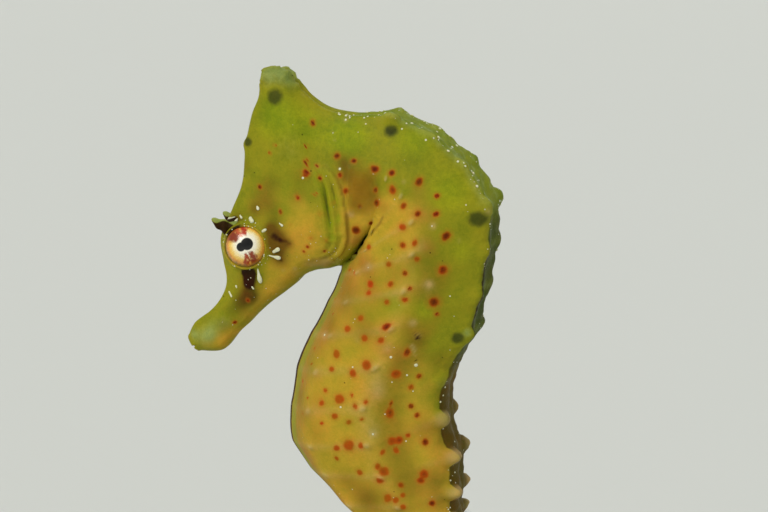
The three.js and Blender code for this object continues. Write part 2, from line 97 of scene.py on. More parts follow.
TAIL_RINGS = 35
TAIL_START = (4.6, 50.4)  # centre of the first tail ring
TAIL_LENGTH = 90.0
TAIL_DEPTH = {"root": 13.4, "tip": 1.2, "power": 1.2}
TAIL_HALF_WIDTH = (0.36, 0.5)  # as shares of the depth, at root and tip
TAIL_TURN = {"first": -9.0, "total": 470.0, "power": 1.9}  # degrees from straight down
TAIL_RING_TAPER = 2.7  # the first ring is this many times as long as the last

BACK_TUBERCLES = [0.8, 0.4, 0.5, 1.1, 0.5, 0.5, 0.9, 0.6, 1.5, 1.9, 1.8]
SIDE_TUBERCLE = 0.34
BELLY_TUBERCLE = 0.28
TAIL_TUBERCLE_SHARE = 0.13  # of the tail's depth
RIB_HEIGHT = 0.14
PLATE_HOLLOW = 0.17
TRUNK_RELIEF = 0.42  # ribs and hollows of the trunk as a share of the tail's
RING_SHIFT = (-0.05, 0, 0.4, 0.35, 0.3, 0.3)  # how far back a ring lies at each corner, in rings
PLATE_SWELL = 0.65  # 0 draws the sections' sides straight, 1 as full curves
SECTION_MIDDLE = 0.45

EYE = {"x": -19.5, "z": 91.4, "y": 3.45, "radius": 3.2, "depth": 2.5}
ORBIT = {"radius": 3.85, "depth": 3.05, "y": 2.5}
SOCKET_RADIUS = 2.95
LID = {"radius": 3.18, "tube": 0.2}
EYE_SPINE = {"foot": (-21.7, 93.8), "tip": (-24.9, 95.3), "y": 2.7, "flare": 0.5, "radius": 1.25}
CREST_KNOB = {"x": -20.1, "z": 106.3, "radius": 1.25, "height": 1.25}
CROWN_KNOBS = {"count": 5, "radius": 0.8, "out": 2.3, "aside": 1.35, "x": -15.1, "z": 116.6}

# How high or deep the smaller reliefs stand, how wide they are and where they lie.
CROWN_ROUGH = {"coarse": 0.36, "fine": 0.2, "from": 113.6, "to": 116.2}
BACK_STRIP = {"lump": 0.14, "grain": 0.05, "swell": 1.3, "knob": 0.16}
GILL_LIP = {"height": 0.34, "width": 1.5, "dip": 0.16, "dip_at": 0.45, "dip_width": 0.35}
NECK_GROOVE = {"depth": 0.5, "width": 0.3, "wrinkles": 10, "wrinkle_height": 0.09}
FIN_FOOT = {"height": 0.3, "width": 0.6}
MOUTH = {"rows": 7, "reach": 0.75, "slit_depth": 0.55, "slit_at": 0.25, "slit_width": 0.13}

PECTORAL = {"x": -3.7, "z": 100.4, "root": 6.2, "fan": 16, "length": 4.9, "rays": 11, "lift": 0.06}
DORSAL_FIN = {"from": 11.55, "to": 14.3, "height": 6.6, "lean": 36, "fan": 14, "rays": 17}
FIN_GRID = {"along": 26, "between": 8}  # points along a ray, and steps from one ray to the next
ANAL_FIN = {"ring": 12.3, "root": 1.1, "height": 2.8, "spread": 44, "droop": 24, "rays": 4}

BASE = {"radius": 32.0, "height": 8.0, "edge": 1.2}
BASE_GROOVE = {"inset": 4.0, "half_width": 0.45, "depth": 0.4}
ROD = {"radius": 1.5, "foot": 3.2, "foot_height": 1.6}

ROW_SPACING = 0.375  # between rows of the skin, which then has fewer than 200,000 triangles
TAIL_SPACING = 1.05  # between rows of the tail, as a multiple of that
AROUND = (8, 30, 28, 14, 8)  # columns from the middle of the back to the middle of the belly

# ---------------------------------------------------------------- the camera

AZIMUTH, ELEVATION = math.radians(11.5), math.radians(10.0)
CAMERA_DISTANCE = 360.0
AIM = np.array([0.0, 0.0, 90.0])
PIXELS_PER_MM = 6.75  # at the aim point
FRAME_SIZE = (768, 512)
AIM_PIXEL = (380, 256)
SENSOR = 36.0

TO_CAMERA = np.array(
    [
        math.sin(AZIMUTH) * math.cos(ELEVATION),
        -math.cos(AZIMUTH) * math.cos(ELEVATION),
        math.sin(ELEVATION),
    ]
)
RIGHTWARDS = np.array([math.cos(AZIMUTH), math.sin(AZIMUTH), 0.0])
UPWARDS = np.cross(TO_CAMERA, RIGHTWARDS)
CAMERA_PLACE = (
    AIM
    + TO_CAMERA * CAMERA_DISTANCE
    + RIGHTWARDS * (FRAME_SIZE[0] / 2 - AIM_PIXEL[0]) / PIXELS_PER_MM
)


def camera():
    """The camera looks along -TO_CAMERA. Its lens shows PIXELS_PER_MM at the aim point."""
    data = bpy.data.cameras.new("camera")
    data.sensor_width = SENSOR
    data.lens = SENSOR * CAMERA_DISTANCE * PIXELS_PER_MM / FRAME_SIZE[0]
    data.clip_start, data.clip_end = 0.01, 20
    made = bpy.data.objects.new("camera", data)
    made.location = CAMERA_PLACE * MM
    made.rotation_euler = Vector(-TO_CAMERA).to_track_quat("-Z", "Y").to_euler()
    bpy.context.scene.collection.objects.link(made)
    bpy.context.scene.camera = made


# ---------------------------------------------------------------- meshes


def cubic(a, b, c, d, t):
    """Catmull-Rom: the cubic from b to c that leaves b along c - a and meets c along d - b."""
    return b + 0.5 * t * (c - a + t * (2 * a - 5 * b + 4 * c - d + t * (3 * (b - c) + d - a)))


def spline(knots, at):
    """The cubics through the rows of knots, one after another, at each place of at."""
    i = np.clip(np.floor(at).astype(int), 0, len(knots) - 2)
    t = (at - i)[:, None]
    a, b, c, d = (knots[np.clip(i + k, 0, len(knots) - 1)] for k in (-1, 0, 1, 2))
    return cubic(a, b, c, d, t)


def smoothstep(value, low, high):
    """3t^2 - 2t^3, with t the share of the way from low to high."""
    t = np.clip((value - low) / (high - low), 0, 1)
    return t * t * (3 - 2 * t)


def unit(vectors):
    """Each vector divided by its length."""
    return vectors / np.maximum(np.linalg.norm(vectors, axis=-1, keepdims=True), 1e-9)


def grid_faces(rows, columns, wrap=True, first=0):
    """Quads between neighbouring rows and columns of a grid. wrap joins the last column to the first."""
    i, j = np.meshgrid(np.arange(rows - 1), np.arange(columns - (not wrap)), indexing="ij")
    nxt = (j + 1) % columns
    quads = [i * columns + j, i * columns + nxt, (i + 1) * columns + nxt, (i + 1) * columns + j]
    return first + np.stack(quads, -1).reshape(-1, 4)


def fan_faces(centre, ring, flip=False):
    """Triangles from one centre to a closed ring of points."""
    nxt = np.roll(ring, -1)
    faces = np.stack([np.full(len(ring), centre), ring, nxt], -1)
    return faces[:, ::-1] if flip else faces


def closed_grid(points):
    """A closed form from a grid wrapped round its columns, with a fan over each open end."""
    rows, columns = points.shape[:2]
    flat = points.reshape(-1, 3)
    ends = [points[0].mean(0), points[-1].mean(0)]
    n = len(flat)
    faces = [
        grid_faces(rows, columns),
        fan_faces(n, np.arange(columns), flip=True),
        fan_faces(n + 1, np.arange((rows - 1) * columns, rows * columns)),
    ]
    return outward(np.vstack([flat, *ends]), faces)


def outward(points, face_sets):
    """The same closed form with every face turned outwards: its volume comes out positive."""
    volume = 0.0
    for faces in face_sets:
        corners = points[faces]
        for k in range(1, faces.shape[1] - 1):
            a, b, c = corners[:, 0], corners[:, k], corners[:, k + 1]
            volume += np.einsum("ij,ij->", a, np.cross(b, c))
    return points, [f[:, ::-1] if volume < 0 else f for f in face_sets]


def joined(parts):
    """Several (points, face sets) as one."""
    points, faces, start = [], [], 0
    for part_points, part_faces in parts:
        points.append(part_points)
        faces += [f + start for f in part_faces]
        start += len(part_points)
    return np.vstack(points), faces


def sheet_solid(points, thickness):
    """A thin closed plate: a sheet of rows x columns moved half its thickness to either side along
    its normals, the normal being the cross product of the steps down and across."""
    rows, columns = points.shape[:2]
    normal = unit(np.cross(np.gradient(points, axis=0), np.gradient(points, axis=1)))
    sides = [points + normal * thickness / 2, points - normal * thickness / 2]
    n = rows * columns
    index = np.arange(n).reshape(rows, columns)
    rim = np.concatenate([index[0], index[1:, -1], index[-1, -2::-1], index[-2:0:-1, 0]])
    faces = [
        grid_faces(rows, columns, wrap=False),
        grid_faces(rows, columns, wrap=False, first=n)[:, ::-1],
        np.stack([rim, rim + n, np.roll(rim, -1) + n, np.roll(rim, -1)], -1),
    ]
    return outward(np.vstack([s.reshape(-1, 3) for s in sides]), faces)


def form_tree(form):
    """A form as a tree for rays and nearest places."""
    points, face_sets = form
    return BVHTree.FromPolygons(points.tolist(), [face for faces in face_sets for face in faces.tolist()])


def piece(name, form, material, slot, replaces=(), **fields):
    """A mesh object from points in millimetres and face sets. Each field is a number for each point,
    kept as an attribute. It rides on the one body and stands for the CAD nodes that it names."""
    points, face_sets = form
    mesh = bpy.data.meshes.new(name)
    faces = [face for faces in face_sets for face in faces.tolist()]
    mesh.from_pydata((points * MM).tolist(), [], faces)
    for field, values in fields.items():
        attribute = mesh.attributes.new(field, "FLOAT", "POINT")
        attribute.data.foreach_set("value", np.asarray(values, np.float32))
    mesh.shade_smooth()
    mesh.materials.append(material)
    made = bpy.data.objects.new(name, mesh)
    bpy.context.scene.collection.objects.link(made)
    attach(made, "root")
    if replaces:
        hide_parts(*replaces)
    return made


# ---------------------------------------------------------------- the body's form


def tail_rows():
    """Tail rings along a flat spiral: ring lengths shrink evenly, and the heading, in degrees from
    straight down, is first + total * t^power at share t of the tail."""
    unit_length = TAIL_LENGTH / ((TAIL_RING_TAPER + 1) / 2 * (TAIL_RINGS - 1))
    steps = 12
    x, z = TAIL_START
    along = 0.0
    rows = []
    for ring in range(TAIL_RINGS):
        t = min(along / TAIL_LENGTH, 1)
        root, tip = TAIL_DEPTH["root"], TAIL_DEPTH["tip"]
        depth = tip + (root - tip) * (1 - t) ** TAIL_DEPTH["power"]
        half = depth * (TAIL_HALF_WIDTH[0] + (TAIL_HALF_WIDTH[1] - TAIL_HALF_WIDTH[0]) * t)
        bx, bz = across_tail(t)
        places = (x + bx * depth / 2, z + bz * depth / 2, x - bx * depth / 2, z - bz * depth / 2)
        rows.append((*places, half * 0.9, half, half * 0.86, half * 0.55, 0.45, 0.93))
        length = unit_length * (TAIL_RING_TAPER + (1 - TAIL_RING_TAPER) * ring / (TAIL_RINGS - 1))
        for _ in range(steps):
            along += length / steps
            ax, az = across_tail(along / TAIL_LENGTH)
            x += az * length / steps
            z -= ax * length / steps
    return rows


def across_tail(t):
    """Unit direction from the tail's centre to its back, at share t of its length."""
    turn = math.radians(TAIL_TURN["first"] + TAIL_TURN["total"] * t ** TAIL_TURN["power"])
    return math.cos(turn), -math.sin(turn)


HEAD_ROWS = len(HEAD_SECTIONS)
STATIONS = np.array([*HEAD_SECTIONS.values(), *TRUNK_RINGS, *tail_rows()])
LAST = len(STATIONS) - 1
TAIL_FROM = 12.0  # the ring from which the grid has half as many columns


def station_of_ring(ring):
    """The head's rows come first, so ring 0 is the shoulder, the last of them."""
    return HEAD_ROWS - 1 + ring


def even_stations(start, end, spacing):
    """Stations whose rows lie evenly spaced, by the longest of the steps at back, belly and centre."""
    fine = np.linspace(start, end, 4000)
    rows = spline(STATIONS, fine)
    lines = [rows[:, :2], rows[:, 2:4], (rows[:, :2] + rows[:, 2:4]) / 2]
    steps = np.max([np.linalg.norm(np.diff(line, axis=0), axis=1) for line in lines], axis=0)
    length = np.concatenate([[0], np.cumsum(steps)])
    return np.interp(np.linspace(0, length[-1], round(length[-1] / spacing)), length, fine)


def section_places():
    """Places round the section: 0 is the middle of the back, 1, 2, 3 and 4 the left back ridge, side
    ridge, belly ridge and keel, 5 the middle of the belly, and 6 to 9 the same on the right."""
    half = np.concatenate([k + np.arange(n) / n for k, n in enumerate(AROUND)])
    return np.concatenate([half, [5.0], 10 - half[:0:-1]])


def bare_body(u, v):
    """Points of the body at stations u and places v, and each point's outward direction. A section
    hangs on the rung from back to belly, and its outline is a mix of the polygon through its ten
    corners and the closed Catmull-Rom curve through them."""
    rows = spline(STATIONS, u)
    back, belly = rows[:, :2], rows[:, 2:4]
    depth = np.linalg.norm(belly - back, axis=1)
    down = (belly - back) / depth[:, None]
    w_back, w_side, w_belly, w_keel, side_at, belly_at = rows[:, 4:].T
    one, none = np.ones_like(depth), np.zeros_like(depth)
    shares = [one * 0.02, none, side_at, belly_at, one, one, one, belly_at, side_at, none]
    widths = [none, -w_back, -w_side, -w_belly, -w_keel, none, w_keel, w_belly, w_side, w_back]
    knots = np.stack([np.array(shares).T * depth[:, None], np.array(widths).T], -1)
    i = np.floor(v).astype(int)
    t = (v - i)[None, :, None]
    a, b, c, d = (knots[:, (i + k) % 10] for k in (-1, 0, 1, 2))
    curve = cubic(a, b, c, d, t)
    straight = b + (c - b) * t
    shape = straight + PLATE_SWELL * (curve - straight)
    shape = rounded(shape, v)
    place = back[:, None] + down[:, None] * shape[..., :1]
    points = np.stack([place[..., 0], shape[..., 1], place[..., 1]], -1)
    out = unit(np.stack([shape[..., 0] - SECTION_MIDDLE * depth[:, None], shape[..., 1]], -1))
    direction = down[:, None] * out[..., :1]
    return points, np.stack([direction[..., 0], out[..., 1], direction[..., 1]], -1), depth


def rounded(shape, v):
    """The section with its corners eased: the mean of neighbours, taken a few times all round, and
    many more times at the side ridge, which shows only as a soft turn."""
    def eased(values, times):
        """(one neighbour + twice itself + the other) / 4 round the section, that many times."""
        for _ in range(times):
            values = (np.roll(values, 1, 1) + 2 * values + np.roll(values, -1, 1)) / 4
        return values

    little = eased(shape, 3)
    much = eased(little, 40)
    fold = np.minimum(v, 10 - v)
    at_side = np.exp(-(((fold - 2.1) / 0.62) ** 2))[None, :, None]
    return little + (much - little) * at_side


def ring_relief(u, v, points, depth):
    """Height of the armour at each point: a low rib along each ring, a hollow between rings, and a
    tubercle where a ring crosses a ridge. On the side ridge the rings lie 0.4 of a ring further back,
    so that they run as chevrons."""
    fold = np.minimum(v, 10 - v)[None, :]
    shift = np.interp(fold, [0, 1, 2, 3, 4, 5], RING_SHIFT)
    ring = (u - (HEAD_ROWS - 1))[:, None] - shift
    nearest = np.round(ring)
    off = ring - nearest
    fade = smoothstep(ring, 0.35, 1.0) * smoothstep(LAST - u, 0, 2)[:, None]
    scale = np.clip(depth / 22, 0.06, 1)[:, None]
    rib = RIB_HEIGHT * np.exp(-((off / 0.13) ** 2)) - PLATE_HOLLOW * np.sin(np.pi * off) ** 2
    rib = rib * (TRUNK_RELIEF + (1 - TRUNK_RELIEF) * smoothstep(ring, 9, 13))
    rib = rib * (0.25 + 0.75 * smoothstep(ring, 2.5, 5))
    table = np.array([0, *BACK_TUBERCLES, 0])
    back_height = np.where(
        nearest > len(BACK_TUBERCLES),
        depth[:, None] * TAIL_TUBERCLE_SHARE,
        table[np.clip(nearest.astype(int), 0, len(BACK_TUBERCLES))],
    )
    span = np.linalg.norm(np.diff(points, axis=1, append=points[:, :1]), axis=-1)
    half = points.shape[1] // 2
    run = np.concatenate([np.zeros((len(u), 1)), np.cumsum(span[:, :half], 1)], 1)
    run = np.concatenate([run, run[:, half - 1 : 0 : -1]], 1)
    height = rib * np.minimum(1, scale * 1.6)
    ridges = [
        (1, back_height, 0.2, 1.3),
        (2, SIDE_TUBERCLE * np.sqrt(scale), 0.1, 0.6),
        (3, BELLY_TUBERCLE * np.sqrt(scale), 0.1, 0.6),
    ]
    tips = np.zeros_like(height)
    for corner, high, long, wide in ridges:
        column = int(np.argmin(np.abs(v[: half + 1] - corner)))
        away = (run - run[:, column : column + 1]) / (wide * np.sqrt(scale))
        along = (u - (HEAD_ROWS - 1))[:, None] - RING_SHIFT[corner]
        reach = ((along - np.round(along)) / long) ** 2 + away**2
        cone = 0.7 * np.clip(1 - reach / 1.5, 0, 1) ** 0.8 + 0.3 * np.exp(-0.9 * reach)
        height = height + high * cone
        tips = np.maximum(tips, cone)
    return height * fade, tips * fade, off, fade * np.ones_like(height)


# ---------------------------------------------------------------- places seen by the camera


class Seen:
    """Finds where a pixel of the 768 x 512 frame meets the bare skin, in millimetres."""

    def __init__(self, points, faces):
        """Keeps the skin as a tree that rays are cast on."""
        self.tree = BVHTree.FromPolygons(points.tolist(), faces.tolist())

    def at(self, px, py):
        """The ray from the camera through the pixel, followed to the skin. Past its edge, the
        nearest point of the skin to the ray at the animal's distance."""
        across = RIGHTWARDS * (px - FRAME_SIZE[0] / 2) + UPWARDS * (FRAME_SIZE[1] / 2 - py)
        ray = unit(across - TO_CAMERA * CAMERA_DISTANCE * PIXELS_PER_MM)
        hit = self.tree.ray_cast(Vector(CAMERA_PLACE), Vector(ray))[0]
        if hit is None:
            hit = self.tree.find_nearest(Vector(CAMERA_PLACE + ray * CAMERA_DISTANCE))[0]
        return np.array(hit)

    def beside(self, x, z):
        """The left side of the skin at that x and z."""
        return np.array(self.tree.ray_cast(Vector((x, -30, z)), Vector((0, 1, 0)))[0])

    def path(self, pixels, count=50):
        """A smooth line of points through the places that the pixels show."""
        knots = np.array([self.at(*p) for p in pixels])
        return spline(knots, np.linspace(0, len(knots) - 1, count))


def folded(points):
    """The same places on the animal's left side."""
    return points * [1, 0, 1] - np.abs(points * [0, 1, 0])


def nearest_on(points, path):
    """Distance from each point to a line of points, the share of the line where it is nearest, and
    how far off the point lies to the line's right as the left side is seen, which is negative on
    its left."""
    best = np.full(len(points), 1e9)
    nearest = np.zeros(len(points), int)
    for k, place in enumerate(path):
        distance = np.linalg.norm(points - place, axis=1)
        closer = distance < best
        best = np.where(closer, distance, best)
        nearest = np.where(closer, k, nearest)
    tangent = unit(np.gradient(path, axis=0))[nearest]
    away = points - path[nearest]
    beside = away[:, 2] * tangent[:, 0] - away[:, 0] * tangent[:, 2]
    return best, nearest / (len(path) - 1), np.copysign(best, beside)


def bell(distance, width):
    """exp(-(distance / width)^2): 1 at the middle and 0.37 at the width."""
    return np.exp(-((distance / width) ** 2))


def waves(points, length, seed):
    """Uneven ground between -1 and 1: the mean of sine waves of about that length that run in random
    directions, made three times as tall."""
    draw = np.random.default_rng(seed)
    total = np.zeros(len(points))
    count = 14
    for direction in unit(draw.normal(size=(count, 3))):
        step = 2 * math.pi / (length * draw.uniform(0.75, 1.4))
        total += np.sin(points @ direction * step + draw.uniform(0, 2 * math.pi))
    return np.clip(total / count * 3, -1, 1)


# Grooves of the gill cover, from its upper corner round its rear: pixels, depth and width.
GILL_GROOVES = [
    ([(320, 176), (324, 188), (326, 200), (328, 212), (330, 224), (331, 236)], 0.4, 0.34),
    ([(325, 173), (331, 183), (334, 194), (337, 206), (339, 218), (339, 230)], 0.36, 0.26),
    ([(342, 226), (341, 239), (336, 250), (326, 257), (314, 260)], 0.18, 0.26),
    ([(333, 236), (330, 246), (321, 253), (308, 256)], 0.12, 0.26),
]
# The free edge of the gill cover, and the fold between throat and trunk.
GILL_EDGE = [
    (318, 166), (327, 169), (335, 177), (341, 189), (344, 203), (346, 218), (347, 231), (346, 243),
    (341, 254), (332, 262),
]
NECK_FOLD = [
    (347, 262), (352, 259), (356, 255), (358, 249), (362, 243), (368, 236), (374, 230), (380, 223),
    (383, 217),
]
# The full cheek: its pixel, and its height and radius in millimetres.
CHEEK = {"pixel": (309, 222), "height": 0.35, "radius": 4.2}
# Where throat and trunk press together: x, y and radius in pixels, and height in millimetres.
PRESSED = [(355, 252, 11, 1.4), (347, 262, 7, 0.7)]


def main_skin(u, v):
    """Points of the skin with its rings on the grid of u and v, and what its marks come from."""
    points, out, depth = bare_body(u, v)
    height, tips, off, armour = ring_relief(u, v, points, depth)
    points = points + out * height[..., None]
    flat = points.reshape(-1, 3)
    return flat, tips.ravel(), off.ravel(), armour.ravel()


def crown_relief(points):
    """Knobs round the top of the coronet, and one on the brow: bells on their centres. The skin over
    the coronet's top is rough."""
    height = np.zeros(len(points))
    for i in range(CROWN_KNOBS["count"]):
        angle = 2 * math.pi * i / CROWN_KNOBS["count"]
        centre = [
            CROWN_KNOBS["x"] + CROWN_KNOBS["out"] * math.cos(angle),
            CROWN_KNOBS["aside"] * math.sin(angle),
            CROWN_KNOBS["z"],
        ]
        distance = np.linalg.norm(points - centre, axis=1)
        height = np.maximum(height, 0.75 * bell(distance, CROWN_KNOBS["radius"]))
    coarse = CROWN_ROUGH["coarse"] * waves(points, 1.6, SEED + 2)
    rough = coarse + CROWN_ROUGH["fine"] * waves(points, 0.9, SEED + 3)
    height += rough * smoothstep(points[:, 2], CROWN_ROUGH["from"], CROWN_ROUGH["to"])
    brow = [CREST_KNOB["x"], 0, CREST_KNOB["z"]]
    distance = np.linalg.norm(points - brow, axis=1)
    return height + CREST_KNOB["height"] * bell(distance, CREST_KNOB["radius"] * 0.75)


def back_relief(points, ring, fold):
    """The strip between the two back ridges: lumpy all along, and swollen towards the dorsal fin."""
    strip = smoothstep(-fold, -1.06, -0.9) * smoothstep(ring, -0.4, 0.6)
    fading = 1 - smoothstep(ring, 12, 16)
    lumps = BACK_STRIP["lump"] * waves(points, 2.4, SEED + 4)
    lumps = lumps + BACK_STRIP["grain"] * waves(points, 1.2, SEED + 5)
    edge = bell(fold - 1, 0.16) * smoothstep(ring, -0.4, 0.6)
    swollen = BACK_STRIP["swell"] * smoothstep(-fold, -1.0, -0.35) * smoothstep(ring, 6.2, 9)
    knobs = BACK_STRIP["knob"] * np.clip(waves(points, 1.3, SEED + 6), 0, 1)
    return (strip * (lumps + swollen) + edge * knobs) * fading


def gill_relief(left):
    """The gill cover: a free edge that stands proud of the neck, grooves near it, and a full cheek.
    The neck fold is a deep groove with short wrinkles across it. The pectoral fin stands on a low
    fleshy foot."""
    from_cheek = np.linalg.norm(left - seen.at(*CHEEK["pixel"]), axis=1)
    height = CHEEK["height"] * bell(from_cheek, CHEEK["radius"])
    for pixels, deep, wide in GILL_GROOVES:
        distance, share, _ = nearest_on(left, seen.path(pixels))
        height -= deep * bell(distance, wide) * np.sin(np.pi * np.clip(share, 0.1, 0.9))
        height += 0.4 * deep * bell(distance - 0.75, 0.35)
    distance, share, beside = nearest_on(left, seen.path(GILL_EDGE))
    fade = np.sin(np.pi * np.clip(share, 0.03, 0.97)) ** 0.5
    inside = 1 - smoothstep(beside, -0.25, 0.25)
    lip = GILL_LIP["height"] * inside * bell(distance, GILL_LIP["width"])
    dip = GILL_LIP["dip"] * bell(beside - GILL_LIP["dip_at"], GILL_LIP["dip_width"])
    height += fade * (lip - dip)
    distance, share, _ = nearest_on(left, seen.path(NECK_FOLD))
    groove = NECK_GROOVE["depth"] * bell(distance, NECK_GROOVE["width"])
    height -= groove * (1 - smoothstep(share, 0.45, 1))
    wrinkle = np.sin(share * 2 * math.pi * NECK_GROOVE["wrinkles"]) * bell(distance - 0.9, 0.8)
    height += NECK_GROOVE["wrinkle_height"] * wrinkle * smoothstep(share, 0.35, 0.6)
    foot = [seen.beside(PECTORAL["x"], PECTORAL["z"] + PECTORAL["root"] * t) for t in (-0.5, 0, 0.5)]
    from_foot = nearest_on(left, spline(np.array(foot), np.linspace(0, 2, 20)))[0]
    height += FIN_FOOT["height"] * bell(from_foot, FIN_FOOT["width"])
    for x, y, radius, tall in PRESSED:
        distance = np.linalg.norm(left - seen.at(x, y), axis=1)
        height += tall * bell(distance, radius / PIXELS_PER_MM)
    return height


def eye_distance(points):
    """Distance from the axis of the eye, in the plane of the eye's rim."""
    return np.hypot(points[:, 0] - EYE["x"], points[:, 2] - EYE["z"])


def over_orbit(points):
    """The skin rises over each orbit as a low dome, |y| = y0 + depth * sqrt(1 - (d / radius)^2),
    blended in by a smooth maximum, and turns in under the eyeball inside the socket."""
    distance = eye_distance(points)
    share = np.clip(distance / ORBIT["radius"], 0, 1)
    dome = ORBIT["y"] + ORBIT["depth"] * np.sqrt(1 - share**2)
    side = np.abs(points[:, 1])
    near = smoothstep(-distance, -ORBIT["radius"] - 0.9, -ORBIT["radius"] + 0.5)
    soft = 0.35
    raised = soft * np.logaddexp(side / soft, dome / soft)
    side = side + (raised - side) * near * (side > 0.4)
    socket = smoothstep(-distance, -EYE["radius"] + 0.02, -SOCKET_RADIUS)
    side = side - 1.6 * socket * (np.abs(points[:, 1]) > 0.4)
    return np.stack([points[:, 0], np.sign(points[:, 1]) * side, points[:, 2]], -1)


def grid_normals(points, rows, columns):
    """Cross product of the steps along and round the grid, turned outwards."""
    grid = points.reshape(rows, columns, 3)
    round_step = np.roll(grid, -1, 1) - np.roll(grid, 1, 1)
    normal = unit(np.cross(np.gradient(grid, axis=0), round_step))
    outwards = grid - grid.mean(1, keepdims=True)
    normal *= np.sign(np.einsum("ijk,ijk->", normal, outwards))
    return normal.reshape(-1, 3)


def build_grid(u, v):
    """One stretch of skin with its reliefs: rings, orbits, coronet, gill cover and neck fold."""
    points, tips, off, armour = main_skin(u, v)
    points = over_orbit(points)
    normal = grid_normals(points, len(u), len(v))
    ring = np.repeat(u - (HEAD_ROWS - 1), len(v))
    fold = np.tile(np.minimum(v, 10 - v), len(u))
    height = crown_relief(points) + gill_relief(folded(points)) + back_relief(points, ring, fold)
    return points + normal * height[:, None], tips, off, armour


def bare_grid(u, v):
    """The skin with its rings and nothing else, as points and quads, for rays to meet."""
    points = main_skin(u, v)[0]
    return points, grid_faces(len(u), len(v))


U_FRONT = even_stations(0, station_of_ring(TAIL_FROM), ROW_SPACING)
U_TAIL = even_stations(U_FRONT[-1] + 0.05, LAST, ROW_SPACING * TAIL_SPACING)
V_FULL = section_places()
seen = Seen(*bare_grid(U_FRONT[::2], V_FULL[::2]))


def lips(first_ring):
    """Rows that close the end of the snout as a dome, with the mouth as a slit across it: each row is
    the first ring drawn to its centre by cos t and forwards by sin t."""
    centre = first_ring.mean(0)
    rung = unit(first_ring[len(first_ring) // 2] - first_ring[0])
    forward = unit(np.cross(rung, [0, 1, 0]))
    forward *= np.sign(-forward[0])
    rows = []
    for t in np.linspace(0.14, 0.97, MOUTH["rows"]) * math.pi / 2:
        row = centre + (first_ring - centre) * math.cos(t) + forward * MOUTH["reach"] * math.sin(t)
        slit = bell((row - centre) @ rung - MOUTH["slit_at"], MOUTH["slit_width"]) * math.sin(t) ** 0.5
        rows.append(row - forward * MOUTH["slit_depth"] * slit[:, None])
    return np.array(rows[::-1])


def whole_skin():
    """The two stretches of grid sewn into one closed skin. The trunk's last row has twice the
    columns of the tail's first, so three triangles fill each step between them."""
    front, tips, off, armour = build_grid(U_FRONT, V_FULL)
    tail, tail_tips, tail_off, tail_armour = build_grid(U_TAIL, V_FULL[::2])
    n, m = len(V_FULL), len(V_FULL) // 2
    mouth = lips(front[:n])
    front_rows = len(U_FRONT) + len(mouth)
    head_points = np.vstack([mouth.reshape(-1, 3), front])
    start = len(head_points)
    k = np.arange(m)
    row = (front_rows - 1) * n
    left, middle, right = row + 2 * k, row + 2 * k + 1, row + (2 * k + 2) % n
    low, next_low = start + k, start + (k + 1) % m
    sewn = [
        np.stack([left, middle, low], -1),
        np.stack([middle, next_low, low], -1),
        np.stack([middle, right, next_low], -1),
    ]
    points = np.vstack([head_points, tail, mouth[0].mean(0), tail[-m:].mean(0)])
    total = start + len(tail)
    faces = [
        grid_faces(front_rows, n),
        grid_faces(len(U_TAIL), m, first=start),
        fan_faces(total, np.arange(n), flip=True),
        fan_faces(total + 1, np.arange(total - m, total)),
        *sewn,
    ]
    pad = np.zeros(mouth.shape[0] * n)

    def whole(a, b, end=0.0):
        """A field all over: nothing on the lips, then trunk, tail and the two end points."""
        return np.concatenate([pad, a, b, [end, end]])

    u = np.concatenate([pad, np.repeat(U_FRONT, n), np.repeat(U_TAIL, m), [0, LAST]])
    v = np.concatenate([np.tile(V_FULL, front_rows), np.tile(V_FULL[::2], len(U_TAIL)), [0, 0]])
    fields = {"tips": whole(tips, tail_tips), "off": whole(off, tail_off)}
    fields.update(armour=whole(armour, tail_armour), u=u, fold=np.minimum(v, 10 - v))
    return outward(points, faces), fields


# ---------------------------------------------------------------- eyelids and eye spines


def lid(side):
    """A fold of skin round the eye: a ring of small tube, its centre 0.05 mm above the orbit's dome,
    |y| = y0 + depth * sqrt(1 - (d / radius)^2), with a waver in its thickness."""
    around = np.linspace(0, 2 * math.pi, 100, endpoint=False)[:, None]
    section = np.linspace(0, 2 * math.pi, 12, endpoint=False)[None, :]
    tube = LID["tube"] * (1 + 0.1 * np.sin(3 * around + 0.6) + 0.05 * np.sin(11 * around))
    out = LID["radius"] + tube * np.cos(section)
    middle = ORBIT["y"] + ORBIT["depth"] * math.sqrt(1 - (LID["radius"] / ORBIT["radius"]) ** 2)
    high = middle + 0.05 + tube * np.sin(section)
    points = [EYE["x"] + out * np.cos(around), side * high, EYE["z"] + out * np.sin(around)]
    points = np.stack(np.broadcast_arrays(*points), -1)
    flat = points.reshape(-1, 3)
    rows, columns = points.shape[:2]
    faces = grid_faces(rows + 1, columns) % len(flat)
    return outward(flat, [faces])


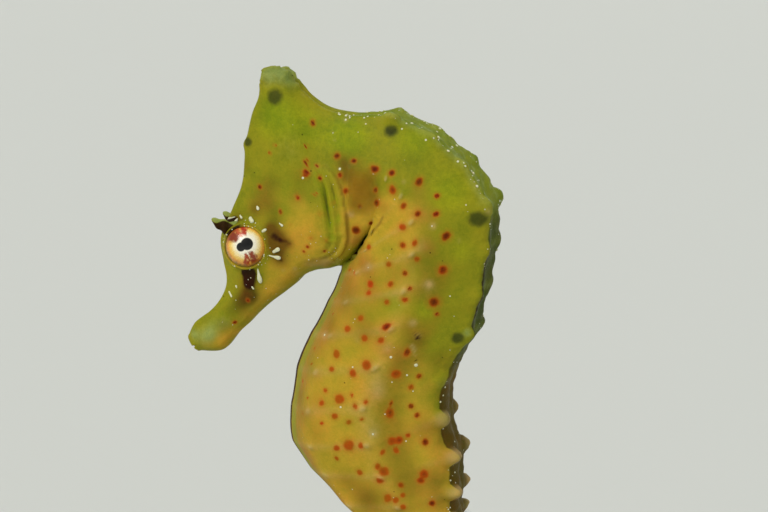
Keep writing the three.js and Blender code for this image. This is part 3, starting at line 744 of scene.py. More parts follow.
def eye_spine(side):
    """A thick blunt flap over the eye that leans outwards. Its radius falls as (1 - t^2.4)^0.6, with
    a flare where it leaves the skin and lumps along it."""
    around = np.linspace(0, 2 * math.pi, 28, endpoint=False)
    foot = np.array([EYE_SPINE["foot"][0], side * EYE_SPINE["y"], EYE_SPINE["foot"][1]])
    tip_y = side * (EYE_SPINE["y"] + EYE_SPINE["flare"])
    tip = np.array([EYE_SPINE["tip"][0], tip_y, EYE_SPINE["tip"][1]])
    along = unit(tip - foot)
    across = unit(np.cross(along, [0, 1, 0]))
    aside = np.cross(along, across)
    t = np.linspace(0, 0.99, 30)[:, None, None]
    radius = EYE_SPINE["radius"] * ((1 - t**2.4) ** 0.6 * 0.78 + 0.4 * np.exp(-((t / 0.16) ** 2)))
    radius = radius * (1 + 0.12 * np.sin(t * 17 + np.cos(around)[:, None] * 2.0))
    circle = np.cos(around)[:, None] * across * 1.1 + np.sin(around)[:, None] * aside * 0.62
    droop = np.array([0, 0, -0.9]) * t * (1 - t)
    points = foot + (tip - foot) * (t * 1.14 - 0.14) + radius * circle + droop
    return closed_grid(points)


# ---------------------------------------------------------------- markings

# Rust spots as they show in the frame: x, y and radius, in pixels.
RUST_SPOTS = [
    (354, 161, 2.8), (375, 169, 4.2), (392, 173, 3.0), (393, 190, 4.2), (419, 182, 4.2),
    (437, 196, 2.6), (404, 206, 3.4), (418, 214, 3.2), (436, 214, 3.2), (403, 227, 3.4),
    (347, 191, 3.6), (377, 203, 3.2), (376, 190, 2.6), (360, 206, 2.4), (356, 230, 4.0),
    (446, 236, 4.6), (415, 243, 3.4), (403, 245, 3.2), (369, 247, 2.6), (371, 223, 2.0),
    (417, 259, 3.0), (389, 264, 2.8), (443, 270, 4.4), (405, 273, 2.8), (371, 284, 3.6),
    (391, 284, 3.0), (410, 288, 2.6), (369, 293, 2.8), (405, 299, 3.4), (387, 302, 2.8),
    (434, 302, 4.8), (437, 314, 2.4), (361, 318, 3.0), (387, 327, 4.6), (348, 329, 3.2),
    (365, 338, 3.4), (381, 340, 3.4), (407, 352, 4.2), (337, 354, 4.2), (367, 365, 4.8),
    (396, 374, 4.4), (419, 376, 2.8), (332, 369, 2.8), (353, 373, 4.0), (411, 387, 3.0),
    (326, 390, 2.4), (340, 399, 4.6), (352, 395, 2.6), (322, 403, 2.8), (366, 402, 2.8),
    (355, 406, 3.2), (391, 403, 2.8), (390, 413, 5.2), (411, 406, 2.8), (417, 415, 2.8),
    (335, 416, 3.2), (349, 422, 3.0), (362, 419, 2.4), (322, 423, 2.2), (337, 448, 3.2),
    (349, 445, 5.2), (361, 445, 3.2), (337, 458, 2.6), (392, 441, 4.0), (399, 440, 4.0),
    (408, 435, 2.4), (396, 450, 3.4), (383, 452, 3.2), (425, 442, 3.8), (360, 472, 3.2),
    (384, 471, 5.0), (378, 466, 3.4), (380, 480, 3.6), (424, 474, 4.4), (421, 480, 3.6),
    (401, 485, 3.0), (388, 498, 4.0), (396, 500, 3.0), (403, 495, 2.4), (403, 507, 2.6),
    (432, 503, 3.0), (350, 270, 1.8), (355, 273, 1.8), (335, 299, 1.6), (333, 314, 1.8),
    (315, 349, 2.0), (312, 364, 1.8), (303, 381, 1.8), (308, 398, 1.8), (303, 413, 2.0),
]
HEAD_SPOTS = [
    (313, 123, 2.8), (306, 173, 3.6), (320, 178, 2.4), (298, 198, 3.0), (316, 195, 2.8),
    (333, 204, 2.6), (322, 213, 2.8), (281, 212, 2.6), (292, 225, 2.0), (312, 237, 2.6),
    (327, 239, 2.4), (308, 246, 2.2), (304, 251, 1.8), (325, 251, 1.8), (270, 153, 1.8),
    (275, 145, 1.8), (306, 146, 2.0), (306, 162, 2.6), (317, 166, 2.0), (337, 156, 3.2),
    (260, 187, 2.4), (235, 322, 2.0), (248, 300, 2.0), (340, 175, 2.6),
]
TAIL_SPOTS = {"count": 90, "from": 11.9, "to": 30}  # on each side, and the rings they lie between
# Large dark blots with soft edges, in the same form, and how much flatter each is than it is wide.
BLOTS = [
    (275, 97, 6.8, 0), (245, 142, 4.2, 0), (391, 131, 6.0, 0.6), (478, 219, 8.4, 0.9),
    (458, 338, 5.6, 0.6),
]
# Patches of each pigment: x, y, radius and strength.
PATCHES = {
    "dark": [
        (214, 222, 4.0, 0.7), (221, 222, 6.0, 1.0), (227, 223, 5.0, 1.0), (235, 221, 4.5, 0.9),
        (243, 221, 3.5, 0.6), (224, 231, 3.5, 0.7), (275, 236, 5.6, 0.8), (281, 240, 4.0, 0.7),
        (287, 241, 3.0, 0.62), (291, 243, 2.4, 0.7), (277, 251, 4.2, 0.5), (281, 260, 3.0, 0.6),
        (250, 271, 7.4, 1.0), (250, 278, 7.2, 1.0), (249, 285, 6.0, 0.9), (244, 272, 3.0, 0.7),
        (418, 338, 3.0, 1.0), (414, 334, 1.9, 0.8), (423, 333, 1.9, 0.8), (418, 331, 1.7, 0.7),
        (424, 340, 1.7, 0.6), (412, 339, 1.7, 0.6), (416, 360, 2.0, 0.9), (391, 132, 3.4, 0.9),
        (387, 130, 2.0, 0.6), (395, 130, 2.0, 0.6), (481, 219, 3.4, 0.45), (458, 338, 2.4, 0.8),
        # (345, 262) is painted shade: the dark gap where the jaw meets the trunk.
        (454, 337, 2.0, 0.5), (345, 262, 2.6, 0.9), (487, 275, 5.0, 1.2),
    ],
    "wash_and_painted_shade": [
        (274, 236, 11, 0.95), (281, 241, 10, 0.8), (290, 243, 5, 0.5), (270, 228, 6, 0.6),
        (277, 251, 10, 0.85), (281, 261, 8, 0.6), (249, 281, 10, 0.7), (246, 294, 9, 0.7),
        (240, 301, 8, 0.5), (252, 301, 7, 0.4), (224, 228, 8, 0.6), (235, 225, 6, 0.5),
        (238, 220, 8, 0.6), (366, 200, 14, 0.2), (371, 179, 9, 0.45), (373, 196, 7, 0.4),
        (362, 186, 10, 0.25), (343, 162, 8, 0.7), (345, 178, 7, 0.6), (348, 170, 7, 0.4),
        (357, 165, 9, 0.35), (264, 196, 13, 0.5), (255, 209, 9, 0.6), (272, 208, 10, 0.35),
        (298, 196, 9, 0.35), (270, 182, 9, 0.3), (276, 222, 8, 0.35), (419, 340, 10, 0.5),
        (300, 178, 9, 0.35), (332, 322, 9, 0.2), (384, 208, 7, 0.3), (405, 325, 8, 0.15),
        (222, 325, 10, 0.25), (400, 358, 9, 0.3), (440, 360, 12, 0.3), (430, 250, 9, 0.2),
        # (440, 440), and the patches from (345, 290) on, darken the belly's front, the snout, the lower back
        # and the lower body: painted shade.
        (411, 262, 8, 0.2), (356, 205, 7, 0.25), (246, 165, 7, 0.3), (440, 440, 10, 0.3),
        (352, 180, 7, 0.3), (360, 262, 9, 0.15), (425, 262, 10, 0.2), (345, 290, 14, 0.25),
        (352, 312, 16, 0.25), (333, 330, 14, 0.35), (322, 352, 12, 0.25), (311, 372, 12, 0.25),
        (300, 395, 12, 0.3), (305, 415, 12, 0.35), (316, 434, 12, 0.25), (440, 398, 12, 0.25),
        (436, 425, 14, 0.3), (445, 455, 12, 0.35), (432, 482, 14, 0.35), (350, 482, 12, 0.2),
        (372, 502, 16, 0.45), (402, 506, 14, 0.3), (440, 502, 16, 0.5), (245, 312, 9, 0.3),
        (262, 296, 9, 0.15), (368, 272, 10, 0.2), (372, 290, 16, 0.35), (396, 273, 12, 0.25),
        (366, 330, 14, 0.4), (320, 402, 12, 0.25), (422, 430, 12, 0.3), (440, 392, 8, 0.35),
        (440, 476, 12, 0.25), (364, 496, 14, 0.35), (225, 320, 10, 0.2), (345, 478, 12, 0.15),
    ],
    "olive": [
        (250, 292, 6.5, 1.0), (245, 300, 8, 0.8), (254, 297, 6, 0.6), (236, 306, 9, 0.5),
        (249, 286, 7, 0.5), (228, 312, 8, 0.35), (278, 184, 9, 0.25), (310, 178, 7, 0.3),
    ],
    "peach": [
        (365, 262, 14, 0.8), (350, 272, 9, 0.8), (342, 305, 14, 0.8), (352, 290, 12, 0.8),
        (388, 350, 13, 0.6), (376, 398, 11, 0.45), (325, 335, 12, 0.6), (396, 235, 10, 0.25),
        (436, 222, 9, 0.3), (352, 214, 6, 0.6), (318, 375, 12, 0.4), (432, 300, 8, 0.2),
        (310, 400, 9, 0.3), (375, 430, 12, 0.3), (302, 232, 10, 0.25), (280, 280, 7, 0.4),
        # (325, 262) and (310, 262) are painted light on the underside of the jaw, which lies in shade.
        (425, 385, 9, 0.3), (354, 240, 9, 0.8), (325, 262, 10, 0.9), (310, 262, 8, 0.6),
        (420, 215, 12, 0.7), (426, 245, 12, 0.7), (417, 190, 11, 0.5), (424, 270, 10, 0.4),
    ],
    "gold": [
        (318, 215, 20, 0.25), (300, 232, 22, 0.8), (318, 252, 18, 0.6), (338, 256, 10, 0.7),
        (352, 238, 16, 0.8), (415, 215, 14, 0.5), (352, 215, 16, 0.6), (350, 190, 14, 0.45),
        (385, 215, 18, 1.0), (345, 395, 22, 0.9), (278, 272, 12, 0.5), (372, 225, 14, 0.6),
        (400, 240, 16, 0.5), (290, 262, 18, 0.8), (275, 285, 14, 0.9), (262, 300, 12, 0.9),
        (250, 315, 12, 0.85), (238, 330, 11, 0.7), (222, 342, 12, 0.7), (205, 342, 9, 0.4),
        (255, 205, 18, 0.35), (268, 190, 16, 0.3), (362, 165, 14, 0.3), (300, 205, 9, 0.5),
        (363, 192, 13, 0.6),
    ],
    "moss": [
        (325, 192, 7, 0.7), (328, 208, 7, 0.9), (331, 224, 7, 0.9), (330, 238, 7, 0.7),
        (318, 178, 8, 0.5), (300, 182, 12, 0.4), (288, 190, 10, 0.3), (224, 319, 12, 0.7),
        (337, 200, 6, 0.7), (340, 218, 6, 0.7), (339, 236, 6, 0.6), (331, 250, 6, 0.4),
        (212, 326, 10, 0.4), (235, 268, 8, 0.3), (415, 140, 26, 0.8), (450, 190, 26, 0.7),
        (275, 115, 26, 1.0), (350, 138, 26, 0.9), (310, 130, 20, 0.6), (392, 304, 17, 0.75),
        (370, 316, 12, 0.5), (425, 310, 16, 0.7), (357, 341, 8, 0.3), (460, 250, 18, 0.5),
        (430, 345, 14, 0.5), (400, 412, 10, 0.4), (345, 130, 14, 0.5),
    ],
    "frost": [
        (270, 74, 10, 0.9), (284, 74, 10, 0.9), (262, 78, 7, 0.7), (296, 80, 6, 0.7),
        (292, 84, 8, 0.4), (288, 148, 17, 0.22), (194, 334, 7, 0.6), (192, 342, 6, 0.5),
        (204, 338, 10, 0.6), (214, 328, 12, 0.45), (226, 322, 8, 0.35), (467, 333, 4.5, 0.9),
        (470, 340, 3.5, 0.6), (225, 250, 5, 0.5), (227, 262, 5, 0.3),
    ],
    "pale": [
        (346, 120, 4, 0.6), (333, 132, 3, 0.4), (335, 140, 2.5, 0.4), (340, 169, 3, 0.6),
        (351, 214, 4.5, 0.7), (366, 123, 4, 0.3), (283, 270, 3, 0.4), (295, 268, 3, 0.4),
        (305, 170, 3, 0.3), (404, 182, 3, 0.5), (369, 266, 4.5, 0.5), (433, 226, 4, 0.7),
        (429, 284, 4.5, 0.7), (413, 323, 4.5, 0.7), (379, 392, 9, 0.4), (373, 433, 4, 0.6),
        (378, 383, 10, 0.2), (421, 245, 7, 0.2), (325, 335, 4.5, 0.5), (412, 346, 2.8, 0.9),
        (414, 350, 2.8, 0.8), (415, 355, 2.4, 0.5), (416, 364, 2.6, 1.0), (313, 340, 14, 0.12),
        (358, 341, 4, 0.35), (459, 241, 4, 0.3), (456, 233, 3, 0.2), (302, 88, 3, 0.5),
        (303, 95, 2.5, 0.5), (309, 98, 2.5, 0.5), (318, 102, 2.5, 0.5), (328, 106, 2.5, 0.5),
        # (325, 262), (310, 264), (296, 273), (282, 286) and (338, 262) are painted light along the underside
        # of the jaw, which lies in shade.
        (338, 110, 3, 0.6), (388, 348, 5, 0.3), (375, 430, 10, 0.25), (325, 262, 9, 0.6),
        (310, 264, 8, 0.4), (296, 273, 8, 0.3), (282, 286, 8, 0.25), (346, 295, 4, 0.15),
        (338, 262, 5, 0.4), (430, 290, 12, 0.2), (368, 418, 12, 0.15), (380, 375, 10, 0.15),
        (418, 336, 4.5, 0.5), (488, 211, 5, 0.6), (491, 221, 4, 0.5),
    ],
}
SPOT_SIZE = 1.06  # spots narrower along their lean are made up for by this
HALO = 1.6  # the pale rust about a spot is this much wider than it


def spot_field(points, spots):
    """1 - d / 2r from the nearest of the spots: 0.5 at a spot's edge. A spot is its centre, radius
    and lean, and it is narrower along its lean: d^2 = |p|^2 + (p . lean)^2."""
    field = np.zeros(len(points))
    for centre, radius, lean in spots:
        box = np.abs(points - centre).max(1) < 2 * radius
        away = points[box] - centre
        distance = np.sqrt((away**2).sum(1) + (away @ lean) ** 2)
        field[box] = np.maximum(field[box], 1 - distance / (2 * radius))
    return field


def patches(left, table):
    """Sum of bells on the places that the pixels show, alike on both sides of the animal."""
    field = np.zeros(len(left))
    for x, y, radius, strength in table:
        distance = np.linalg.norm(left - seen.at(x, y), axis=1)
        field += strength * bell(distance, radius / PIXELS_PER_MM)
    return np.clip(field, 0, 1)


def rust_places():
    """Spots on the left side where the frame shows them, their like on the right side moved at
    random by about a millimetre, and spots strewn down both sides of the tail."""
    draw = np.random.default_rng(SEED)
    places = []
    for x, y, radius in RUST_SPOTS + HEAD_SPOTS:
        centre = seen.at(x, y)
        lean = draw.normal(0, 0.45, 3)
        places.append((centre, radius * SPOT_SIZE / PIXELS_PER_MM, lean))
        other = centre * [1, -1, 1] + draw.normal(0, 0.7, 3)
        other = np.array(seen.tree.find_nearest(Vector(other))[0])
        places.append((other, radius * SPOT_SIZE / PIXELS_PER_MM * draw.uniform(0.8, 1.15), lean))
    u = station_of_ring(draw.uniform(TAIL_SPOTS["from"], TAIL_SPOTS["to"], TAIL_SPOTS["count"]))
    v = draw.uniform(1.25, 3.1, TAIL_SPOTS["count"])
    for place, fold in zip(u, v):
        point = bare_body(np.array([place]), V_FULL)[0][0]
        for side in (fold, 10 - fold):
            column = int(np.argmin(np.abs(V_FULL - side)))
            share = 1 - (place - HEAD_ROWS - 11) / 26
            size = draw.uniform(0.25, 0.6) * max(share, 0.35)
            places.append((point[column], size, draw.normal(0, 0.45, 3)))
    return places


def marks(points, fields):
    """Everything that the skin's colour is worked out from, one number for each point. Away from the
    head it follows the armour: gold below the side ridge and further up the back towards the tail,
    moss within the plates, blush along the belly, and a pale grid of ridges and rings. Rust spots
    are older and darker towards the back."""
    fold, armour, tips, off, u = (fields[k] for k in ("fold", "armour", "tips", "off", "u"))
    left = folded(points)
    ring = u - (HEAD_ROWS - 1)
    trunk = smoothstep(ring, 1.2, 3.2)
    edge = np.interp(ring, [2, 5, 7, 8.5, 10], [1.85, 1.7, 1.35, 0.9, 0.7])
    gold = trunk * smoothstep(fold - edge, -0.12, 0.5)
    plate = 1 - bell(off, 0.3)
    inside = plate * (bell(fold - 2.5, 0.36) + 0.4 * bell(fold - 1.5, 0.25))
    moss = trunk * inside * (1 - 0.75 * smoothstep(ring, 7, 9)) * 0.5
    blush = trunk * bell(fold - 3.6, 0.45)
    shade = smoothstep(ring, 4, 5.5) * (1 - smoothstep(ring, 10.5, 12)) * bell(fold - 1.66, 0.26)
    moss = np.maximum(moss, patches(left, PATCHES["moss"]))
    dark = patches(left, PATCHES["dark"])
    olive = patches(left, PATCHES["olive"])
    # Painted shade: the gill grooves are darkened olive, the more the deeper they are.
    for pixels, deep, wide in GILL_GROOVES:
        distance, share, _ = nearest_on(left, seen.path(pixels))
        line = bell(distance, wide * 0.8) * np.sin(np.pi * np.clip(share, 0.05, 0.95)) ** 0.7
        olive = np.maximum(olive, min(1, 2.2 * deep + 0.25) * line)
    _, share, beside = nearest_on(left, seen.path(GILL_EDGE))
    wash_and_painted_shade = patches(left, PATCHES["wash_and_painted_shade"])
    # Painted shade: a brown line just outside the gill cover's free edge, beneath its proud lip.
    wash_and_painted_shade = np.maximum(wash_and_painted_shade, 0.6 * bell(beside - 0.2, 0.2) * np.sin(np.pi * share))
    # Painted shade: a dark line in the middle of the neck fold's crease, and a brown line along most of it.
    distance, share, _ = nearest_on(left, seen.path(NECK_FOLD))
    along = smoothstep(share, 0.2, 0.36) * (1 - smoothstep(share, 0.5, 0.68))
    dark = np.maximum(dark, bell(distance, 0.2) * along)
    wash_and_painted_shade = np.maximum(wash_and_painted_shade, 0.6 * bell(distance, 0.22) * smoothstep(share, 0.0, 0.2))
    # Painted shade: a dark line down the keel, along the belly's edge.
    keel = armour * smoothstep(fold, 3.86, 3.99) * (1 - smoothstep(ring, 9.6, 11.2))
    dorsal = smoothstep(ring, -0.5, 0.3) * smoothstep(-fold, -1.0, -0.86)
    ridges = smoothstep(ring, 2.5, 5) * (0.22 * bell(fold - 2, 0.2) + 0.12 * bell(fold - 3, 0.2))
    bands = 0.32 * bell(off, 0.17) * smoothstep(fold, 1.7, 2.2) * (1 - smoothstep(fold, 3.6, 4.2))
    towards = 0.28 * bell(off, 0.16) * bell(fold - 1.15, 0.4) * smoothstep(ring, 7.6, 8.8)
    knobs = np.clip(tips * 1.6 - 0.25, 0, 1) * (fold <= 1.5) * smoothstep(ring, 7.5, 9)
    pale = patches(left, PATCHES["pale"]) + trunk * bands + ridges + towards
    blots = [(seen.at(x, y), r / PIXELS_PER_MM, np.array([0, 0, flat])) for x, y, r, flat in BLOTS]
    rust = rust_places()
    spots = spot_field(points, rust)
    old = 1.12 - 0.55 * (fold - 1.55) + 0.2 * waves(left, 7.0, SEED + 8)
    old = np.maximum(old * (1 - 0.32 * smoothstep(ring, 5.5, 8)), 1 - 0.8 * smoothstep(ring, 0.8, 2.6))
    old = np.clip(old, 0, 1)
    # Painted shade: a dark line in the crease where the near back ridge meets the strip beyond it.
    ridge_crease_shade = bell(fold - 0.9, 0.13) * smoothstep(ring, 4.4, 5.2) * (1 - 0.5 * smoothstep(ring, 6.4, 7.2))
    dark = np.maximum(dark, 0.75 * ridge_crease_shade * (1 - smoothstep(ring, 11, 13)))
    crust = np.clip(waves(left, 1.2, SEED + 7), 0, 1) * dorsal + 0.6 * armour * bell(fold - 1, 0.1)
    crust = crust * (1 - smoothstep(ring, 3.5, 5))
    return {
        "gold": np.clip(gold + patches(left, PATCHES["gold"]), 0, 1),
        "moss": moss,
        "blush": blush,
        "shade": shade,
        "peach": patches(left, PATCHES["peach"]),
        "frost": np.clip(patches(left, PATCHES["frost"]) + 0.8 * crust, 0, 1),
        # Painted shade: the back strip turns browner towards the tail, still as dark as in shadow.
        "umber_and_strip_shade": dorsal * smoothstep(ring, 6.6, 8.6) * (1 - 0.8 * smoothstep(ring, 14, 20)),
        "olive": np.clip(olive, 0, 1),
        "keel_band": armour * bell(fold - 3.76, 0.2),
        "dots": tips**1.2 * (fold > 1.5),
        "dark": np.clip(np.maximum(dark, keel), 0, 1),
        "wash_and_painted_shade": np.clip(wash_and_painted_shade, 0, 1),
        "dorsal": dorsal,
        # Painted shade: the strip between the two back ridges, darkened as if it lay in shadow.
        "back_strip_shade": dorsal
        * smoothstep(ring, 3.4, 5.0)
        * (1 - 0.7 * smoothstep(ring, 13, 17))
        * (1 - 0.35 * bell(off, 0.16)),
        "pale": np.clip(np.maximum(pale, 0.75 * knobs), 0, 1),
        "rust": spots,
        "old_rust": spots * old,
        "halo": spot_field(points, [(place, radius * HALO, lean) for place, radius, lean in rust]),
        "blot": spot_field(left, blots),
    }


def lid_marks(over):
    """Marks of an eyelid at places counted from the eye's centre: half gold, dark at its upper front,
    with lesser dark bars below and behind, and frosted and pale at the front."""
    angle = np.degrees(np.arctan2(over[:, 2], over[:, 0]))
    shaded = bell(angle - 125, 34) + 0.3 * bell(angle + 80, 16) + 0.3 * bell(angle - 20, 22)
    return {
        "gold": np.full(len(over), 0.5),
        "dark": np.clip(shaded, 0, 1),
        "frost": 0.5 * bell(angle - 175, 40),
        "pale": 0.3 * bell(angle + 170, 60),
    }


def spine_marks(over):
    """Marks of the spine over an eye at places counted from the eye's centre: dark, and frosted
    along its upper side and all over its tip."""
    above = (over[:, 2] - 2.4) + (over[:, 0] + 2.1) * 0.47 + smoothstep(-over[:, 0], 3.2, 4.9)
    frosted = smoothstep(above, 0.4, 0.9)
    return {"dark": np.clip(1.1 - frosted, 0, 1), "frost": 0.9 * frosted}


# ---------------------------------------------------------------- materials


def colour(text):
    """An sRGB hex colour as linear light, with alpha 1."""
    values = [int(text[i : i + 2], 16) / 255 for i in (1, 3, 5)]
    linear = [c / 12.92 if c <= 0.04045 else ((c + 0.055) / 1.055) ** 2.4 for c in values]
    return (*linear, 1.0)


def per_mm(size):
    """Texture scale for a pattern whose features are that many millimetres apart."""
    return 1 / (size * MM)


def node(tree, kind, inputs=None, **settings):
    """Adds a node with its settings, and sets or links its inputs by name or number."""
    made = tree.nodes.new(kind)
    for name, value in settings.items():
        setattr(made, name, value)
    for key, value in (inputs or {}).items():
        if isinstance(value, bpy.types.NodeSocket):
            tree.links.new(value, made.inputs[key])
        else:
            made.inputs[key].default_value = value
    return made


def new_material(name):
    """A material with an empty tree but for its output, which is returned with the tree."""
    material = bpy.data.materials.new(name)
    material.use_nodes = True
    material.node_tree.nodes.clear()
    return material, material.node_tree


def skin_material():
    """Living skin over bony plates: moist and softly lit from within, so a little light goes under
    the surface and its moist face has a low sheen. Each pigment, and each patch of painted shade or
    painted light, is laid over the last where its field and a ragged noise say so."""
    material, tree = new_material("moist_skin_over_bony_plates")
    place = node(tree, "ShaderNodeTexCoord").outputs["Object"]
    clouds = node(tree, "ShaderNodeTexNoise", {"Vector": place, "Scale": per_mm(4.0), "Detail": 5.0})
    ragged = node(tree, "ShaderNodeTexNoise", {"Vector": place, "Scale": per_mm(0.7), "Detail": 5.0})
    grains = node(tree, "ShaderNodeTexNoise", {"Vector": place, "Scale": per_mm(0.25), "Detail": 3.0})
    tint = colour("#8E8C1A")
    # field, pigment or painted shade, where it begins, where it is full, noise that frays it, how much, and
    # how strong
    pigments = [
        ("gold", "#C09E2E", 0.05, 1.00, clouds, 0.60, 0.95),
        ("blush", "#A07C2A", 0.10, 1.00, clouds, 0.50, 0.80),
        ("shade", "#7F6C16", 0.15, 1.00, clouds, 0.50, 0.60),
        ("moss", "#889614", 0.10, 1.00, clouds, 0.50, 0.85),
        ("peach", "#AA7F2C", 0.05, 1.00, clouds, 0.40, 0.85),
        ("keel_band", "#8E9224", 0.20, 0.90, clouds, 0.30, 0.85),
        ("dorsal", "#7A861C", 0.30, 0.80, clouds, 0.20, 0.90),
        # Painted shade of the strip between the back ridges: dark olive, and browner towards the tail.
        ("back_strip_shade", "#3E4604", 0.10, 1.00, ragged, 0.60, 0.94),
        ("umber_and_strip_shade", "#5E480A", 0.10, 1.00, ragged, 0.80, 0.80),
        ("frost", "#8E9C52", 0.05, 1.00, ragged, 0.40, 0.90),
        ("pale", "#C0A668", 0.05, 1.00, ragged, 0.20, 0.75),
        ("dots", "#C8B67E", 0.20, 1.20, ragged, 0.15, 0.45),
        # The olive, wash and dark fields also hold painted shade: the gill grooves, the gill cover's edge,
        # the neck fold, the throat's corner, the ridge crease, the keel, and the front and lower body.
        ("olive", "#3E460A", 0.10, 1.00, ragged, 0.20, 0.85),
        ("wash_and_painted_shade", "#5E390C", 0.00, 1.00, ragged, 0.20, 0.85),
        ("dark", "#2A0E04", 0.25, 0.80, ragged, 0.50, 0.97),
        ("blot", "#3C4216", 0.18, 0.66, ragged, 0.40, 0.88),
        ("halo", "#B4681C", 0.25, 0.75, ragged, 0.20, 0.40),
        ("rust", "#AC4E06", 0.32, 0.66, ragged, 0.24, 0.95),
        ("old_rust", "#521B02", 0.38, 0.84, ragged, 0.24, 0.88),
    ]
    for field, pigment, low, high, fray, amount, strongest in pigments:
        value = node(tree, "ShaderNodeAttribute", attribute_name=field).outputs["Fac"]
        frayed = node(tree, "ShaderNodeMath", {0: fray.outputs["Fac"], 1: -0.5}, operation="ADD")
        scaled = node(tree, "ShaderNodeMath", {0: frayed.outputs[0], 1: amount}, operation="MULTIPLY")
        inside = node(
            tree, "ShaderNodeMapRange", {"Value": value, "From Min": 0.01, "From Max": 0.1}
        )
        kept = node(
            tree, "ShaderNodeMath", {0: scaled.outputs[0], 1: inside.outputs[0]}, operation="MULTIPLY"
        )
        total = node(tree, "ShaderNodeMath", {0: value, 1: kept.outputs[0]}, operation="ADD")
        mask = node(
            tree,
            "ShaderNodeMapRange",
            {"Value": total.outputs[0], "From Min": low, "From Max": high, "To Max": strongest},
            interpolation_type="LINEAR" if field in ("wash_and_painted_shade", "olive") else "SMOOTHSTEP",
        )
        mixed = node(
            tree,
            "ShaderNodeMix",
            {0: mask.outputs["Result"], 6: tint, 7: colour(pigment)},
            data_type="RGBA",
        )
        tint = mixed.outputs[2]
    # Dark pigment cells: about one cell in four of a 1.8 mm scatter holds a speck 0.2 mm across.
    cells = node(tree, "ShaderNodeTexVoronoi", {"Vector": place, "Scale": per_mm(1.8), "Randomness": 1.0})
    near = node(
        tree,
        "ShaderNodeMapRange",
        {
            "Value": cells.outputs["Distance"],
            "From Min": 0.045,
            "From Max": 0.08,
            "To Min": 1.0,
            "To Max": 0.0,
        },
    )
    chosen = node(tree, "ShaderNodeSeparateColor", {0: cells.outputs["Color"]})
    rare = node(tree, "ShaderNodeMath", {0: chosen.outputs[0], 1: 0.75}, operation="GREATER_THAN")
    speck = node(tree, "ShaderNodeMath", {0: near.outputs[0], 1: rare.outputs[0]}, operation="MULTIPLY")
    speck = node(tree, "ShaderNodeMath", {0: speck.outputs[0], 1: 0.85}, operation="MULTIPLY")
    mixed = node(
        tree,
        "ShaderNodeMix",
        {0: speck.outputs[0], 6: tint, 7: colour("#241505")},
        data_type="RGBA",
    )
    tint = mixed.outputs[2]
    # Uneven pigment: slow clouds turn the hue a little, and all three noises lighten and darken it.
    for noise, turn, least, most in (
        (clouds, 0.014, 0.86, 1.14), (ragged, 0.005, 0.92, 1.08), (grains, 0.003, 0.94, 1.06)
    ):
        value = node(
            tree,
            "ShaderNodeMapRange",
            {
                "Value": noise.outputs["Fac"],
                "From Min": 0.3,
                "From Max": 0.7,
                "To Min": least,
                "To Max": most,
            },
        )
        hue = node(
            tree,
            "ShaderNodeMapRange",
            {
                "Value": noise.outputs["Fac"],
                "From Min": 0.3,
                "From Max": 0.7,
                "To Min": 0.5 + turn,
                "To Max": 0.5 - turn,
            },
        )
        shade = node(
            tree,
            "ShaderNodeHueSaturation",
            {"Hue": hue.outputs["Result"], "Value": value.outputs["Result"], "Color": tint},
        )
        tint = shade.outputs["Color"]
    height = node(tree, "ShaderNodeMath", {0: grains.outputs["Fac"], 1: 0.45}, operation="MULTIPLY")
    height = node(
        tree,
        "ShaderNodeMath",
        {0: ragged.outputs["Fac"], 1: 0.8, 2: height.outputs[0]},
        operation="MULTIPLY_ADD",
    )
    bump = node(
        tree, "ShaderNodeBump", {"Height": height.outputs[0], "Strength": 0.6, "Distance": 0.00014}
    )
    gloss = node(
        tree,
        "ShaderNodeMapRange",
        {"Value": ragged.outputs["Fac"], "From Min": 0.3, "From Max": 0.7, "To Min": 0.42, "To Max": 0.6},
    )
    shader = node(
        tree,
        "ShaderNodeBsdfPrincipled",
        {
            "Base Color": tint,
            "Roughness": gloss.outputs["Result"],
            "Normal": bump.outputs["Normal"],
            "IOR": 1.4,
            "Subsurface Weight": 0.22,
            "Subsurface Radius": (1.0, 0.6, 0.25),
            "Subsurface Scale": 0.0008,
            "Specular IOR Level": 0.1,
        },
    )
    node(tree, "ShaderNodeOutputMaterial", {"Surface": shader.outputs[0]})
    return material


